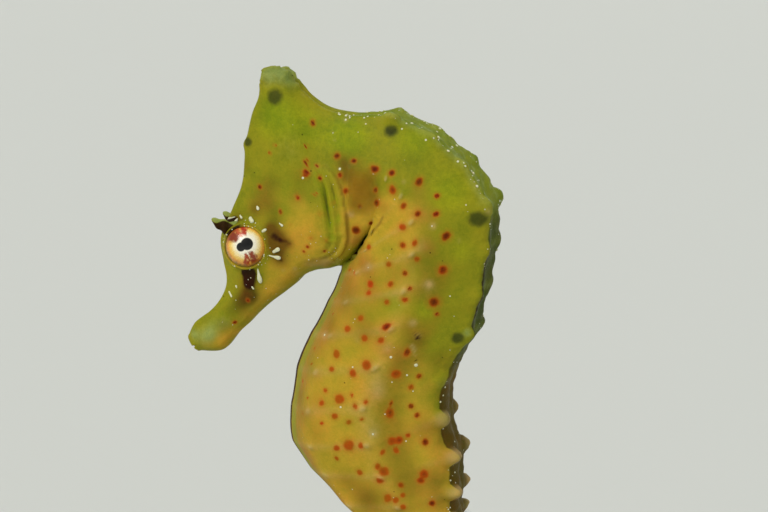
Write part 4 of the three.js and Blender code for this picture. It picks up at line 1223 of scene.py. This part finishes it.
def eye_material():
    """A fish's eye: a silver iris that turns gold and then orange to its rim, dark red bars across
    it, a two-lobed black pupil, and a clear wet cornea, which is the coat."""
    material, tree = new_material("wet_cornea_over_silver_iris")
    uv = node(tree, "ShaderNodeUVMap", uv_map="Gaze").outputs["UV"]
    centred = node(tree, "ShaderNodeVectorMath", {0: uv, 1: (-0.5, -0.5, 0)}, operation="ADD")
    gaze = node(tree, "ShaderNodeVectorMath", {0: centred.outputs[0], 1: (2, 2, 0)}, operation="MULTIPLY")
    flecks = node(tree, "ShaderNodeTexNoise", {"Vector": gaze.outputs[0], "Scale": 7.0, "Detail": 6.0})
    fine = node(tree, "ShaderNodeTexNoise", {"Vector": gaze.outputs[0], "Scale": 26.0, "Detail": 3.0})
    radius = node(tree, "ShaderNodeVectorMath", {0: gaze.outputs[0]}, operation="LENGTH")
    waver = node(
        tree,
        "ShaderNodeMath",
        {0: flecks.outputs["Fac"], 1: 0.22, 2: -0.11},
        operation="MULTIPLY_ADD",
    )
    ragged = node(tree, "ShaderNodeMath", {0: radius.outputs["Value"], 1: waver.outputs[0]}, operation="ADD")
    iris = node(tree, "ShaderNodeValToRGB", {"Fac": ragged.outputs[0]})
    stops = [
        (0.0, "#FFFDF4"), (0.48, "#FFF9E2"), (0.62, "#FFEDB0"), (0.75, "#F8CC5C"),
        (0.87, "#EAA03A"), (0.96, "#B8843A"), (1.0, "#8A7434"),
    ]
    ramp = iris.color_ramp.elements
    ramp[0].position, ramp[0].color = stops[0][0], colour(stops[0][1])
    ramp[1].position, ramp[1].color = stops[-1][0], colour(stops[-1][1])
    for position, shade in stops[1:-1]:
        ramp.new(position).color = colour(shade)
    tint = iris.outputs["Color"]
    direction = node(tree, "ShaderNodeVectorMath", {0: gaze.outputs[0]}, operation="NORMALIZE")
    # Bars across the iris: angle, half-width in degrees and colour.
    bars = [
        (98, 14, "#B8381A"), (124, 11, "#C4582A"), (148, 21, "#8A3412"),
        (-86, 10, "#B04418"), (-60, 14, "#963A12"),
    ]
    for angle, half, shade in bars:
        turn = math.radians(angle)
        aim = (math.cos(turn), math.sin(turn), 0)
        along = node(tree, "ShaderNodeVectorMath", {0: direction.outputs[0], 1: aim}, operation="DOT_PRODUCT")
        frayed = node(
            tree,
            "ShaderNodeMath",
            {0: flecks.outputs["Fac"], 1: 0.1, 2: -0.05},
            operation="MULTIPLY_ADD",
        )
        edge = node(
            tree,
            "ShaderNodeMath",
            {0: along.outputs["Value"], 1: frayed.outputs[0]},
            operation="ADD",
        )
        wide, narrow = math.cos(math.radians(half * 1.25)), math.cos(math.radians(half * 0.6))
        bar = node(
            tree,
            "ShaderNodeMapRange",
            {"Value": edge.outputs[0], "From Min": wide, "From Max": narrow},
        )
        reach = node(
            tree, "ShaderNodeMapRange", {"Value": ragged.outputs[0], "From Min": 0.36, "From Max": 0.5}
        )
        end = node(
            tree,
            "ShaderNodeMapRange",
            {"Value": ragged.outputs[0], "From Min": 0.86, "From Max": 1.0, "To Min": 1.0, "To Max": 0.3},
        )
        mask = node(tree, "ShaderNodeMath", {0: bar.outputs[0], 1: reach.outputs[0]}, operation="MULTIPLY")
        mask = node(tree, "ShaderNodeMath", {0: mask.outputs[0], 1: end.outputs[0]}, operation="MULTIPLY")
        mixed = node(tree, "ShaderNodeMix", {0: mask.outputs[0], 6: tint, 7: colour(shade)}, data_type="RGBA")
        tint = mixed.outputs[2]
    speckle = node(
        tree,
        "ShaderNodeMapRange",
        {"Value": fine.outputs["Fac"], "From Min": 0.35, "From Max": 0.65, "To Min": 0.84, "To Max": 1.1},
    )
    tint = node(
        tree,
        "ShaderNodeHueSaturation",
        {"Value": speckle.outputs[0], "Color": tint},
    ).outputs["Color"]
    # The pupil is the union of two discs: centre and radius as shares of the eye.
    for x, y, size in ((0.07, 0.01, 0.28), (-0.22, -0.13, 0.2)):
        away = node(tree, "ShaderNodeVectorMath", {0: gaze.outputs[0], 1: (x, y, 0)}, operation="DISTANCE")
        mask = node(
            tree,
            "ShaderNodeMapRange",
            {
                "Value": away.outputs["Value"],
                "From Min": size,
                "From Max": size + 0.03,
                "To Min": 1.0,
                "To Max": 0.0,
            },
        )
        mixed = node(
            tree,
            "ShaderNodeMix",
            {0: mask.outputs[0], 6: tint, 7: colour("#060606")},
            data_type="RGBA",
        )
        tint = mixed.outputs[2]
    shader = node(
        tree,
        "ShaderNodeBsdfPrincipled",
        {"Base Color": tint, "Roughness": 0.35, "IOR": 1.34, "Coat Weight": 0.6, "Coat Roughness": 0.03},
    )
    node(tree, "ShaderNodeOutputMaterial", {"Surface": shader.outputs[0]})
    return material


def fin_material():
    """Fin membrane: thin ochre skin that the body shows through, held open by browner bony rays."""
    material, tree = new_material("clear_fin_membrane_on_bony_rays")
    place = node(tree, "ShaderNodeTexCoord").outputs["Object"]
    ray = node(tree, "ShaderNodeAttribute", attribute_name="ray").outputs["Fac"]
    noise = node(tree, "ShaderNodeTexNoise", {"Vector": place, "Scale": per_mm(1.4), "Detail": 4.0})
    tint = node(tree, "ShaderNodeMix", {0: ray, 6: colour("#A87812"), 7: colour("#6A4A12")}, data_type="RGBA")
    value = node(
        tree,
        "ShaderNodeMapRange",
        {"Value": noise.outputs["Fac"], "From Min": 0.3, "From Max": 0.7, "To Min": 0.8, "To Max": 1.15},
    )
    shade = node(tree, "ShaderNodeHueSaturation", {"Value": value.outputs[0], "Color": tint.outputs[2]})
    cover = node(tree, "ShaderNodeAttribute", attribute_name="cover").outputs["Fac"]
    shader = node(
        tree,
        "ShaderNodeBsdfPrincipled",
        {
            "Base Color": shade.outputs["Color"],
            "Alpha": cover,
            "Roughness": 0.4,
            "IOR": 1.4,
            "Specular IOR Level": 0.2,
        },
    )
    node(tree, "ShaderNodeOutputMaterial", {"Surface": shader.outputs[0]})
    return material


def papilla_material():
    """Papillae: tiny soft buds of unpigmented skin, milky and moist, that take the yellow of the skin
    about them at their foot."""
    material, tree = new_material("milky_papillae")
    place = node(tree, "ShaderNodeTexCoord").outputs["Object"]
    noise = node(tree, "ShaderNodeTexNoise", {"Vector": place, "Scale": per_mm(0.6), "Detail": 2.0})
    tint = node(
        tree,
        "ShaderNodeMix",
        {0: noise.outputs["Fac"], 6: colour("#ECEBCB"), 7: colour("#CDD0AC")},
        data_type="RGBA",
    )
    rise = node(tree, "ShaderNodeAttribute", attribute_name="rise").outputs["Fac"]
    milky = node(
        tree, "ShaderNodeMapRange", {"Value": rise, "From Max": 0.8}, interpolation_type="SMOOTHSTEP"
    )
    tint = node(
        tree,
        "ShaderNodeMix",
        {0: milky.outputs[0], 6: colour("#948C28"), 7: tint.outputs[2]},
        data_type="RGBA",
    )
    shader = node(
        tree,
        "ShaderNodeBsdfPrincipled",
        {
            "Base Color": tint.outputs[2],
            "Roughness": 0.4,
            "IOR": 1.4,
            "Specular IOR Level": 0.25,
            "Subsurface Weight": 0.3,
            "Subsurface Radius": (1.0, 0.8, 0.5),
            "Subsurface Scale": 0.0004,
        },
    )
    node(tree, "ShaderNodeOutputMaterial", {"Surface": shader.outputs[0]})
    return material


def walnut_material():
    """Walnut, turned and oiled: dark brown, with warped growth bands drawn out along the board and
    short pores, under a thin satin film of oil. A wave repeats every 2 pi / 20 of its scale, so on
    this board, which is turned and drawn out, the bands lie about 11 mm apart."""
    material, tree = new_material("oiled_walnut")
    place = node(tree, "ShaderNodeTexCoord").outputs["Object"]
    board = node(
        tree, "ShaderNodeMapping", {"Vector": place, "Scale": (0.12, 1.0, 0.7), "Rotation": (0.1, 0.06, 0.35)}
    )
    warp = node(tree, "ShaderNodeTexNoise", {"Vector": board.outputs[0], "Scale": per_mm(9), "Detail": 3.0})
    moved = node(
        tree,
        "ShaderNodeVectorMath",
        {0: warp.outputs["Color"], 1: (0.003, 0.003, 0.003), 2: board.outputs[0]},
        operation="MULTIPLY_ADD",
    )
    rings = node(
        tree,
        "ShaderNodeTexWave",
        {
            "Vector": moved.outputs[0],
            "Scale": per_mm(32.0),
            "Distortion": 3.0,
            "Detail": 3.0,
            "Detail Scale": 2.0,
        },
        bands_direction="Y",
    )
    pores = node(
        tree,
        "ShaderNodeTexNoise",
        {"Vector": board.outputs[0], "Scale": per_mm(0.45), "Detail": 4.0},
    )
    tint = node(
        tree,
        "ShaderNodeMix",
        {0: rings.outputs["Fac"], 6: colour("#4A2C1A"), 7: colour("#2A170D")},
        data_type="RGBA",
    )
    streak = node(
        tree,
        "ShaderNodeMapRange",
        {"Value": pores.outputs["Fac"], "From Min": 0.35, "From Max": 0.7, "To Min": 1.25, "To Max": 0.6},
    )
    shade = node(tree, "ShaderNodeHueSaturation", {"Value": streak.outputs[0], "Color": tint.outputs[2]})
    bump = node(
        tree,
        "ShaderNodeBump",
        {"Height": pores.outputs["Fac"], "Strength": 0.25, "Distance": 0.00008},
    )
    shader = node(
        tree,
        "ShaderNodeBsdfPrincipled",
        {
            "Base Color": shade.outputs["Color"],
            "Roughness": 0.42,
            "Normal": bump.outputs["Normal"],
            "Coat Weight": 0.35,
            "Coat Roughness": 0.25,
        },
    )
    node(tree, "ShaderNodeOutputMaterial", {"Surface": shader.outputs[0]})
    return material


def brass_material():
    """Drawn brass rod: warm yellow metal with fine marks of the die along its length and a trace of
    tarnish."""
    material, tree = new_material("drawn_brass")
    place = node(tree, "ShaderNodeTexCoord").outputs["Object"]
    drawn = node(tree, "ShaderNodeMapping", {"Vector": place, "Scale": (1.0, 1.0, 0.05)})
    lines = node(
        tree,
        "ShaderNodeTexNoise",
        {"Vector": drawn.outputs[0], "Scale": per_mm(0.2), "Detail": 3.0},
    )
    tarnish = node(tree, "ShaderNodeTexNoise", {"Vector": place, "Scale": per_mm(3.0), "Detail": 5.0})
    tint = node(
        tree,
        "ShaderNodeMix",
        {0: tarnish.outputs["Fac"], 6: colour("#D8B56A"), 7: colour("#9C7A3C")},
        data_type="RGBA",
    )
    gloss = node(
        tree, "ShaderNodeMapRange", {"Value": lines.outputs["Fac"], "To Min": 0.2, "To Max": 0.42}
    )
    bump = node(
        tree,
        "ShaderNodeBump",
        {"Height": lines.outputs["Fac"], "Strength": 0.12, "Distance": 0.00003},
    )
    shader = node(
        tree,
        "ShaderNodeBsdfPrincipled",
        {
            "Base Color": tint.outputs[2],
            "Metallic": 1.0,
            "Roughness": gloss.outputs[0],
            "Normal": bump.outputs["Normal"],
        },
    )
    node(tree, "ShaderNodeOutputMaterial", {"Surface": shader.outputs[0]})
    return material


def floor_material():
    """Matt pale card."""
    material, tree = new_material("matt_card")
    shader = node(
        tree, "ShaderNodeBsdfPrincipled", {"Base Color": colour("#D4D6D2"), "Roughness": 0.9}
    )
    node(tree, "ShaderNodeOutputMaterial", {"Surface": shader.outputs[0]})
    return material


# ---------------------------------------------------------------- eyes


def eyeball(side, material):
    """A ball flattened sideways, as polar rows round its own axis. Its Gaze map is the place on the
    disc that faces where the eye looks, a little up and back, as shares of the radius."""
    t = np.linspace(0.012, math.pi - 0.012, 72)[:, None]
    around = np.linspace(0, 2 * math.pi, 96, endpoint=False)[None, :]
    ball = np.stack(
        np.broadcast_arrays(np.sin(t) * np.cos(around), side * np.cos(t), np.sin(t) * np.sin(around)), -1
    )
    radii = np.array([EYE["radius"], EYE["depth"], EYE["radius"]])
    centre = np.array([EYE["x"], side * EYE["y"], EYE["z"]])
    points, faces = closed_grid(centre + ball * radii)
    name = "eye_left" if side < 0 else "eye_right"
    made = piece(f"{name}_ball", (points, faces), material, "eye", [name])
    look = unit(np.array([0.2, side, 0.3]))
    across = unit(np.cross([0, 0, 1], look)) * -side
    upward = np.cross(look, across)
    upward *= np.sign(upward[2])
    local = (points - centre) / (EYE["radius"] * 0.96)
    seen_from = local @ look
    flat = np.stack([local @ across, local @ upward], -1)
    flat = np.where(seen_from[:, None] > 0, flat, unit(flat))
    flat = 0.5 + 0.5 * np.clip(flat, -1, 1)
    layer = made.data.uv_layers.new(name="Gaze")
    loops = np.zeros(len(made.data.loops), np.int32)
    made.data.loops.foreach_get("vertex_index", loops)
    layer.data.foreach_set("uv", flat[loops].astype(np.float32).ravel())


# ---------------------------------------------------------------- fins


def fan_sheet(root, tip, rays, scallop):
    """A fan between a line of root points and a line of tip points: t runs along the rays and s
    across them. The rim is drawn in between rays by scallop * |sin(rays * pi * s)|."""
    s = np.linspace(0, 1, rays * FIN_GRID["between"] + 1)
    lag = scallop * np.abs(np.sin(np.pi * rays * s))
    t = np.linspace(0, 1, FIN_GRID["along"])[None, :, None]
    base, rim = spline(root, s * (len(root) - 1)), spline(tip, s * (len(tip) - 1))
    grid = base[:, None] + (rim - base)[:, None] * t * (1 - lag[:, None, None] * t**2)
    ray = np.cos(np.pi * rays * s) ** 6
    return grid, np.repeat(ray[:, None], FIN_GRID["along"], 1)


def fin(name, grid, ray, node_name, material, thickness=0.14, boldness=1.0, cover=0.3):
    """A fin as a thin solid sheet. Rays stand out a little on both faces. They fade towards their
    tips, and boldness says how much they show at all. cover is how opaque the membrane is at its
    most. That falls with the square of the way out and of the way to the outermost rays, and it
    fades again at the root line."""
    points, faces = sheet_solid(grid, thickness)
    along = np.linspace(0, 1, ray.shape[1])
    ray = ray * boldness * (1 - 0.45 * along)
    across = np.abs(np.linspace(-1, 1, ray.shape[0]))[:, None]
    opaque = (cover + (0.85 - cover) * ray) * (1 - 0.95 * along**2) * (1 - 0.92 * across**2)
    opaque = opaque * (0.2 + 0.8 * smoothstep(along, 0, 0.3))
    both = np.concatenate([ray.ravel()] * 2)
    middle = np.concatenate([grid.reshape(-1, 3)] * 2)
    points = middle + (points - middle) * (1 + 0.5 * both[:, None])
    fields = {"ray": both, "cover": np.concatenate([opaque.ravel()] * 2)}
    piece(name, (points, faces), material, "fin", [node_name], **fields)


def skin_side(x, z, side):
    """The skin's y at that x and z on one side."""
    hit = skin_tree.ray_cast(Vector((x, side * 30, z)), Vector((0, -side, 0)))[0]
    return hit[1]


def pectoral_fin(side, material):
    """A fan behind the gill cover with rounded corners, that lies along the neck and lifts away
    towards its rim: its rays shorten towards both ends as 1 - 0.5 |2t|^5. The neck below it is taken
    as the quadratic surface in x and z that fits it best, so that the fin itself is smooth."""
    reach = PECTORAL["length"]
    root, tip = [], []
    for t in np.linspace(-0.5, 0.5, 25):
        angle = math.radians(2 * PECTORAL["fan"] * t)
        far = reach * (1 - 0.5 * abs(2 * t) ** 5)
        for line, out in ((root, -0.2), (tip, far)):
            x = PECTORAL["x"] + out * math.cos(angle)
            z = PECTORAL["z"] + PECTORAL["root"] * t + out * math.sin(angle)
            line.append((x, 0, z))
    grid, ray = fan_sheet(np.array(root), np.array(tip), PECTORAL["rays"], 0.015)
    flat = grid.reshape(-1, 3)
    x, z = flat[:, 0] - PECTORAL["x"], flat[:, 2] - PECTORAL["z"]
    below = np.array([skin_side(*place, side) for place in flat[:, ::2]])
    terms = np.stack([np.ones_like(x), x, z, x * x, x * z, z * z], -1)
    neck = terms @ np.linalg.lstsq(terms, below, rcond=None)[0]
    out = np.clip(x / reach, 0, 1.1)
    ripple = 0.06 * np.sin(z * 1.9 + x) * out
    flat[:, 1] = neck + side * (0.06 + 0.32 * out**0.6 + out * reach * PECTORAL["lift"] + ripple)
    name = "pectoral_fin_left" if side < 0 else "pectoral_fin_right"
    fin(f"{name}_fan", flat.reshape(grid.shape), ray, name, material, 0.1, boldness=0.15, cover=0.4)


def dorsal_fin(material):
    """A fan along the middle of the back. It waves from side to side by a quarter of a millimetre."""
    t = np.linspace(0, 1, 9)
    u = station_of_ring(DORSAL_FIN["from"] + (DORSAL_FIN["to"] - DORSAL_FIN["from"]) * t)
    rows = spline(STATIONS, u)
    out = np.arctan2(rows[:, 1] - rows[:, 3], rows[:, 0] - rows[:, 2])
    out = out - np.radians(DORSAL_FIN["lean"] + DORSAL_FIN["fan"] * t)
    reach = DORSAL_FIN["height"] * (0.5 + 0.5 * np.sin(np.pi * (0.12 + 0.76 * t)))
    ends = []
    for length in (-0.4 * np.ones_like(reach), reach):
        places = [rows[:, 0] + length * np.cos(out), 0 * out, rows[:, 1] + length * np.sin(out)]
        ends.append(np.stack(places, -1))
    grid, ray = fan_sheet(ends[0], ends[1], DORSAL_FIN["rays"], 0.06)
    share = np.linspace(0, 1, grid.shape[1])
    grid[..., 1] += 0.25 * share * np.sin(grid[..., 2] * 0.75)
    fin("dorsal_fin_fan", grid, ray, "dorsal_fin", material)


def anal_fin(material):
    """The tiny fan at the foot of the belly."""
    row = spline(STATIONS, np.array([station_of_ring(ANAL_FIN["ring"])]))[0]
    across = math.atan2(row[3] - row[1], row[2] - row[0])
    root, tip = [], []
    for share in np.linspace(0.5, -0.5, 7):
        angle = across + math.radians(ANAL_FIN["droop"] - ANAL_FIN["spread"] * share)
        foot_x = row[2] - share * ANAL_FIN["root"] * math.sin(across)
        foot_z = row[3] + share * ANAL_FIN["root"] * math.cos(across)
        root.append((foot_x - 0.4 * math.cos(angle), 0, foot_z - 0.4 * math.sin(angle)))
        far = ANAL_FIN["height"]
        tip.append((row[2] + far * math.cos(angle), 0, row[3] + far * math.sin(angle)))
    grid, ray = fan_sheet(np.array(root), np.array(tip), ANAL_FIN["rays"], 0.08)
    fin("anal_fin_fan", grid, ray, "anal_fin", material)


# ---------------------------------------------------------------- papillae


def bud(place, normal, width, height):
    """A soft bud: rows of 8 points whose radius is width * cos(t), rising as height * sin(t). With it
    comes how high each point lies, from 0 at the foot to 1."""
    across = unit(np.cross(normal, [0.3, 0.2, 1]))
    aside = np.cross(normal, across)
    around = np.linspace(0, 2 * math.pi, 8, endpoint=False)[:, None]
    circle = np.cos(around) * across + np.sin(around) * aside
    turns = np.linspace(-0.25, 1.45, 6)
    rows = [place + circle * width * math.cos(t) + normal * (height * math.sin(t) - 0.05) for t in turns]
    rise = np.clip(np.sin(turns), 0, 1)
    return closed_grid(np.array(rows)), np.concatenate([np.repeat(rise, 8), [0, 1]])


# Long pale papillae about the eye: pixels of foot and tip, half-width in millimetres, and the share
# of it that the foot has.
EYE_PAPILLAE = [
    ((258, 268), (261, 283), 0.4, 0.55), ((237, 229), (240, 234), 0.16, 0.8),
    ((229, 218), (238, 225), 0.24, 0.7), ((273, 252), (280, 248), 0.36, 0.8),
    ((269, 255), (281, 258), 0.36, 0.4), ((261, 232), (267, 229), 0.24, 0.7),
    ((250, 217), (253, 224), 0.36, 1.0), ((251, 252), (252, 256), 0.12, 1.0),
    ((229, 291), (232, 297), 0.18, 0.8), ((240, 215), (243, 219), 0.2, 0.8),
    ((252, 286), (254, 289), 0.17, 0.8), ((280, 223), (284, 226), 0.2, 0.6),
    ((236, 285), (237, 288), 0.14, 1.0), ((257, 206), (259, 210), 0.24, 0.9),
    ((224, 216), (229, 219), 0.2, 0.6),
]
# How many buds: round each eye, on the head, on the trunk, and on three stretches of the back ridges.
BUDS = {"eye": 34, "head": 120, "trunk": 130, "ridges": (130, 60, 40)}
# White dots on head and trunk: pixel and radius in millimetres.
WHITE_DOTS = [
    (325, 335, 0.22), (391, 357, 0.24), (407, 375, 0.2), (392, 382, 0.16), (413, 391, 0.16),
    (353, 367, 0.17), (341, 407, 0.2), (359, 411, 0.17), (385, 414, 0.16), (406, 441, 0.17),
    (447, 442, 0.17), (454, 316, 0.14), (450, 296, 0.16), (416, 365, 0.3), (373, 434, 0.2),
    (303, 178, 0.22), (340, 169, 0.24), (327, 176, 0.12), (311, 243, 0.14), (346, 120, 0.2),
    (333, 133, 0.14), (366, 124, 0.16), (466, 205, 0.16), (432, 226, 0.16), (302, 234, 0.12),
    (309, 259, 0.14), (419, 130, 0.2), (437, 132, 0.2), (440, 137, 0.18), (451, 148, 0.24),
    (458, 162, 0.22), (463, 164, 0.16), (469, 171, 0.14), (480, 180, 0.18), (470, 180, 0.14),
    (488, 200, 0.16), (500, 201, 0.24), (498, 205, 0.2), (485, 209, 0.14), (489, 249, 0.14),
    (426, 140, 0.2), (402, 129, 0.18),
]


def worm(path, width, foot, side):
    """A soft low bud along a line of points. Both ends are round, sin(pi t)^0.45, it swells from the
    foot's share of its width to all of it, and it is half as thick as it is wide."""
    t = np.linspace(0.02, 0.98, len(path))
    along = unit(np.gradient(path, axis=0))
    across = unit(np.cross(along, [0, side, 0]))
    out = unit(np.cross(across, along))
    around = np.linspace(0, 2 * math.pi, 12, endpoint=False)[None, :, None]
    radius = width * (foot + (1 - foot) * smoothstep(t, 0.3, 0.8)) * np.sin(np.pi * t) ** 0.45
    radius = radius * (1 + 0.12 * np.sin(7 * t + 40 * width))
    circle = np.cos(around) * across[:, None] + 0.5 * np.sin(around) * out[:, None]
    outer = np.sign(out[0, 1]) * side
    rise = smoothstep(outer * np.sin(around[0, :, 0]), -0.1, 0.9)
    rise = np.concatenate([np.tile(rise, len(path)), [0, 0]])
    return closed_grid(path[:, None] + radius[:, None, None] * circle), rise


def on_side(pixel, side):
    """The place that the pixel shows, moved to the left side for -1 or the right side for 1."""
    return Vector(folded(seen.at(*pixel)) * [1, -side, 1])


def papillae(material):
    """The long papillae about the eyes, the white dots, a ring of buds round each eye, buds
    scattered over head and trunk, and a close row on each back ridge, all joined as one mesh."""
    draw = np.random.default_rng(SEED + 1)
    forms = []

    def add(place, normal, width, height):
        """Keeps one bud among the forms."""
        forms.append(bud(np.array(place), np.array(normal), width, height))

    def scatter(ring, fold, width, height):
        """A bud where the ring crosses that place of the section, on one side or the other."""
        row = bare_body(np.array([station_of_ring(ring)]), V_FULL)[0][0]
        column = int(np.argmin(np.abs(V_FULL - (fold if draw.random() < 0.5 else 10 - fold))))
        hit, normal, _, _ = skin_tree.find_nearest(Vector(row[column]))
        if eye_distance(np.array([hit]))[0] > LID["radius"] + 0.3:
            add(hit, normal, width, height)

    for foot, tip, width, share in EYE_PAPILLAE:
        for side in (-1, 1):
            ends = [np.array(skin_tree.find_nearest(on_side(p, side))[0]) for p in (foot, tip)]
            middle = (ends[0] + ends[1]) / 2
            out = np.array([0, side * width * 0.25, 0])
            knots = np.array([ends[0], middle + out, ends[1] + out * 0.6])
            forms.append(worm(spline(knots, np.linspace(0, 2, 12)), width, share, side))
    for x, y, width in WHITE_DOTS:
        for side in (-1, 1):
            hit, normal, _, _ = skin_tree.find_nearest(on_side((x, y), side))
            add(hit, normal, width, width * 0.45)
    for angle in draw.uniform(0, 2 * math.pi, BUDS["eye"]):
        out = LID["radius"] + draw.uniform(-0.1, 0.75)
        x, z = EYE["x"] + out * math.cos(angle), EYE["z"] + out * math.sin(angle)
        width = draw.uniform(0.06, 0.13)
        for side in (-1, 1):
            hit, normal, _, _ = whole_tree.ray_cast(Vector((x, side * 20, z)), Vector((0, -side, 0)))
            add(hit, normal, width, width)
    head_rings = draw.uniform(3 - HEAD_ROWS, 0, BUDS["head"])
    for ring in np.concatenate([head_rings, draw.uniform(0, 14, BUDS["trunk"])]):
        scatter(ring, draw.uniform(1.05, 4.2), draw.uniform(0.05, 0.12), draw.uniform(0.04, 0.1))
    stretches = ((-0.6, 4.6), (4, 12), (8, 20))
    ridge_rings = [draw.uniform(*ends, count) for ends, count in zip(stretches, BUDS["ridges"])]
    for ring in np.concatenate(ridge_rings):
        fold = 1.02 - abs(draw.normal(0, 0.28))
        size = min(0.07 * math.exp(abs(draw.normal(0, 0.65))), 0.26)
        scatter(ring, max(fold, 0), size, size * draw.uniform(0.5, 1.3))
    rise = np.concatenate([heights for _, heights in forms])
    piece("papillae", joined([form for form, _ in forms]), material, "skin", rise=rise)


# ---------------------------------------------------------------- the stand


def turned(profile, sides=128):
    """A profile of [radius, height] turned round the Z axis."""
    around = np.linspace(0, 2 * math.pi, sides, endpoint=False)[None, :]
    radius, height = np.array(profile)[:, :1], np.array(profile)[:, 1:]
    return np.stack(
        np.broadcast_arrays(radius * np.cos(around), radius * np.sin(around), height), -1
    )


def stand_base(material):
    """A turned disc with a rounded upper edge, a fine groove near it and a small chamfer below."""
    radius, height, edge = BASE["radius"], BASE["height"], BASE["edge"]
    arc = np.radians(np.linspace(0, 90, 12))
    round_edge = [(radius - edge + edge * math.cos(a), height - edge + edge * math.sin(a)) for a in arc]
    groove = [
        (
            radius - BASE_GROOVE["inset"] + BASE_GROOVE["half_width"] * math.cos(a),
            height - BASE_GROOVE["depth"] * math.sin(a),
        )
        for a in np.radians(range(0, 181, 20))
    ]
    profile = [(0.01, 0), (radius - 0.6, 0), (radius - 0.15, 0.15), (radius, 0.6), *round_edge, *groove]
    profile += [(radius - 8, height), (0.01, height)]
    form = closed_grid(turned(profile))
    made = piece("stand_base_turned", form, material, "wood", ["stand_base"])
    made.data.set_sharp_from_angle(angle=math.radians(40))


def stand_rod(material):
    """A rod with a small turned foot. Its top is cut to the skin that it carries."""
    box = [np.array(corner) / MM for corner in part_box("stand_rod")]
    x, y = (box[0][:2] + box[1][:2]) / 2
    radius, foot, tall = ROD["radius"], ROD["foot"], ROD["foot_height"]
    floor = BASE["height"] - 0.05
    arc = np.radians(np.linspace(0, 90, 8))
    flange = [(foot - 0.4 + 0.4 * math.cos(a), floor + tall * 0.45 + 0.4 * math.sin(a)) for a in arc]
    neck = [
        (
            radius + (foot - 0.5 - radius) * (1 - math.sin(a)),
            floor + tall * 0.72 + (1 - math.cos(a)) * tall * 0.9,
        )
        for a in arc
    ]
    shaft = [(radius, z) for z in np.linspace(floor + tall * 1.8, box[1][2] - 2.2, 5)]
    profile = [(0.01, floor), (foot, floor), *flange, *neck, *shaft]
    points = turned(profile, 64) + [x, y, 0]
    rim = points[-1]
    top = []
    for share in (1.0, 0.66, 0.33, 0.02):
        ring = np.array([x, y, 0]) * (1 - share) + rim * share
        for p in ring:
            hit = skin_tree.ray_cast(Vector((p[0], p[1], BASE["height"] + 1)), Vector((0, 0, 1)))[0]
            p[2] = min(hit[2] if hit else box[1][2], box[1][2] + 0.3) + 0.05
        top.append(ring)
    piece("stand_rod_turned", closed_grid(np.concatenate([points, top])), material, "brass", ["stand_rod"])


# ---------------------------------------------------------------- stage and light


def stage():
    """A wide pale floor that sweeps up all round like a shallow bowl, and a pale world above it: flat
    to 2.6 m, then a quarter of an ellipse 3.4 m further out and 2.2 m up."""
    flat, out, tall = 2.6, 3.4, 2.2
    arc = np.linspace(0, math.pi / 2, 24)
    profile = [(0.02, 0.0), (flat / 2, 0.0), *zip(flat + out * np.sin(arc), tall * (1 - np.cos(arc)))]
    sides = 96
    points = np.vstack([turned(profile, sides).reshape(-1, 3), [0, 0, 0]])
    faces = [grid_faces(len(profile), sides), fan_faces(len(points) - 1, np.arange(sides))]
    mesh = bpy.data.meshes.new("floor")
    mesh.from_pydata(points.tolist(), [], [face for part in faces for face in part.tolist()])
    mesh.shade_smooth()
    mesh.materials.append(floor_material())
    floor = bpy.data.objects.new("floor", mesh)
    bpy.context.scene.collection.objects.link(floor)
    world = bpy.data.worlds.new("studio")
    world.use_nodes = True
    background = world.node_tree.nodes["Background"]
    background.inputs["Color"].default_value = colour("#DDE3E0")
    background.inputs["Strength"].default_value = 0.4
    bpy.context.scene.world = world
    bpy.context.scene.view_settings.view_transform = "Standard"


def sky_light(name, azimuth, elevation, spread, strength, tint):
    """A broad even light from that azimuth and elevation, as wide as a large softbox: spread is the
    angle that it fills, in degrees."""
    a, e = math.radians(azimuth), math.radians(elevation)
    away = Vector((math.sin(a) * math.cos(e), -math.cos(a) * math.cos(e), math.sin(e)))
    data = bpy.data.lights.new(name, "SUN")
    data.energy, data.angle, data.color = strength, math.radians(spread), colour(tint)[:3]
    lamp = bpy.data.objects.new(name, data)
    lamp.location = Vector(AIM * MM) + away
    lamp.rotation_euler = away.to_track_quat("Z", "Y").to_euler()
    bpy.context.scene.collection.objects.link(lamp)


# ---------------------------------------------------------------- the model

camera()
(skin_points, skin_faces), skin_places = whole_skin()
skin_marks = marks(skin_points, skin_places)
skin_forms = [(skin_points, skin_faces)]
skin_fields = {name: [values] for name, values in skin_marks.items()}
for side in (-1, 1):
    for form, worn in ((lid(side), lid_marks), (eye_spine(side), spine_marks)):
        skin_forms.append(form)
        worn_here = worn(form[0] - [EYE["x"], 0, EYE["z"]])
        for name, values in skin_fields.items():
            values.append(worn_here.get(name, np.zeros(len(form[0]))))
skin_tree = form_tree((skin_points, skin_faces))
whole_tree = form_tree(joined(skin_forms))

FLESH = ["snout", "head", "coronet", "neck", "trunk_front", "trunk_rear"]
FLESH += sorted(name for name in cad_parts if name.startswith("tail_"))
piece(
    "skin",
    joined(skin_forms),
    skin_material(),
    "skin",
    FLESH,
    **{name: np.concatenate(values) for name, values in skin_fields.items()},
)
iris = eye_material()
membrane = fin_material()
for side in (-1, 1):
    eyeball(side, iris)
    pectoral_fin(side, membrane)
dorsal_fin(membrane)
anal_fin(membrane)
papillae(papilla_material())
stand_base(walnut_material())
stand_rod(brass_material())

stage()
sky_light("key", -32, 42, 30, 1.9, "#FFF8EE")
sky_light("fill", 62, 28, 50, 0.45, "#F0F6FF")
sky_light("back", 165, 55, 40, 0.7, "#F4FAFF")
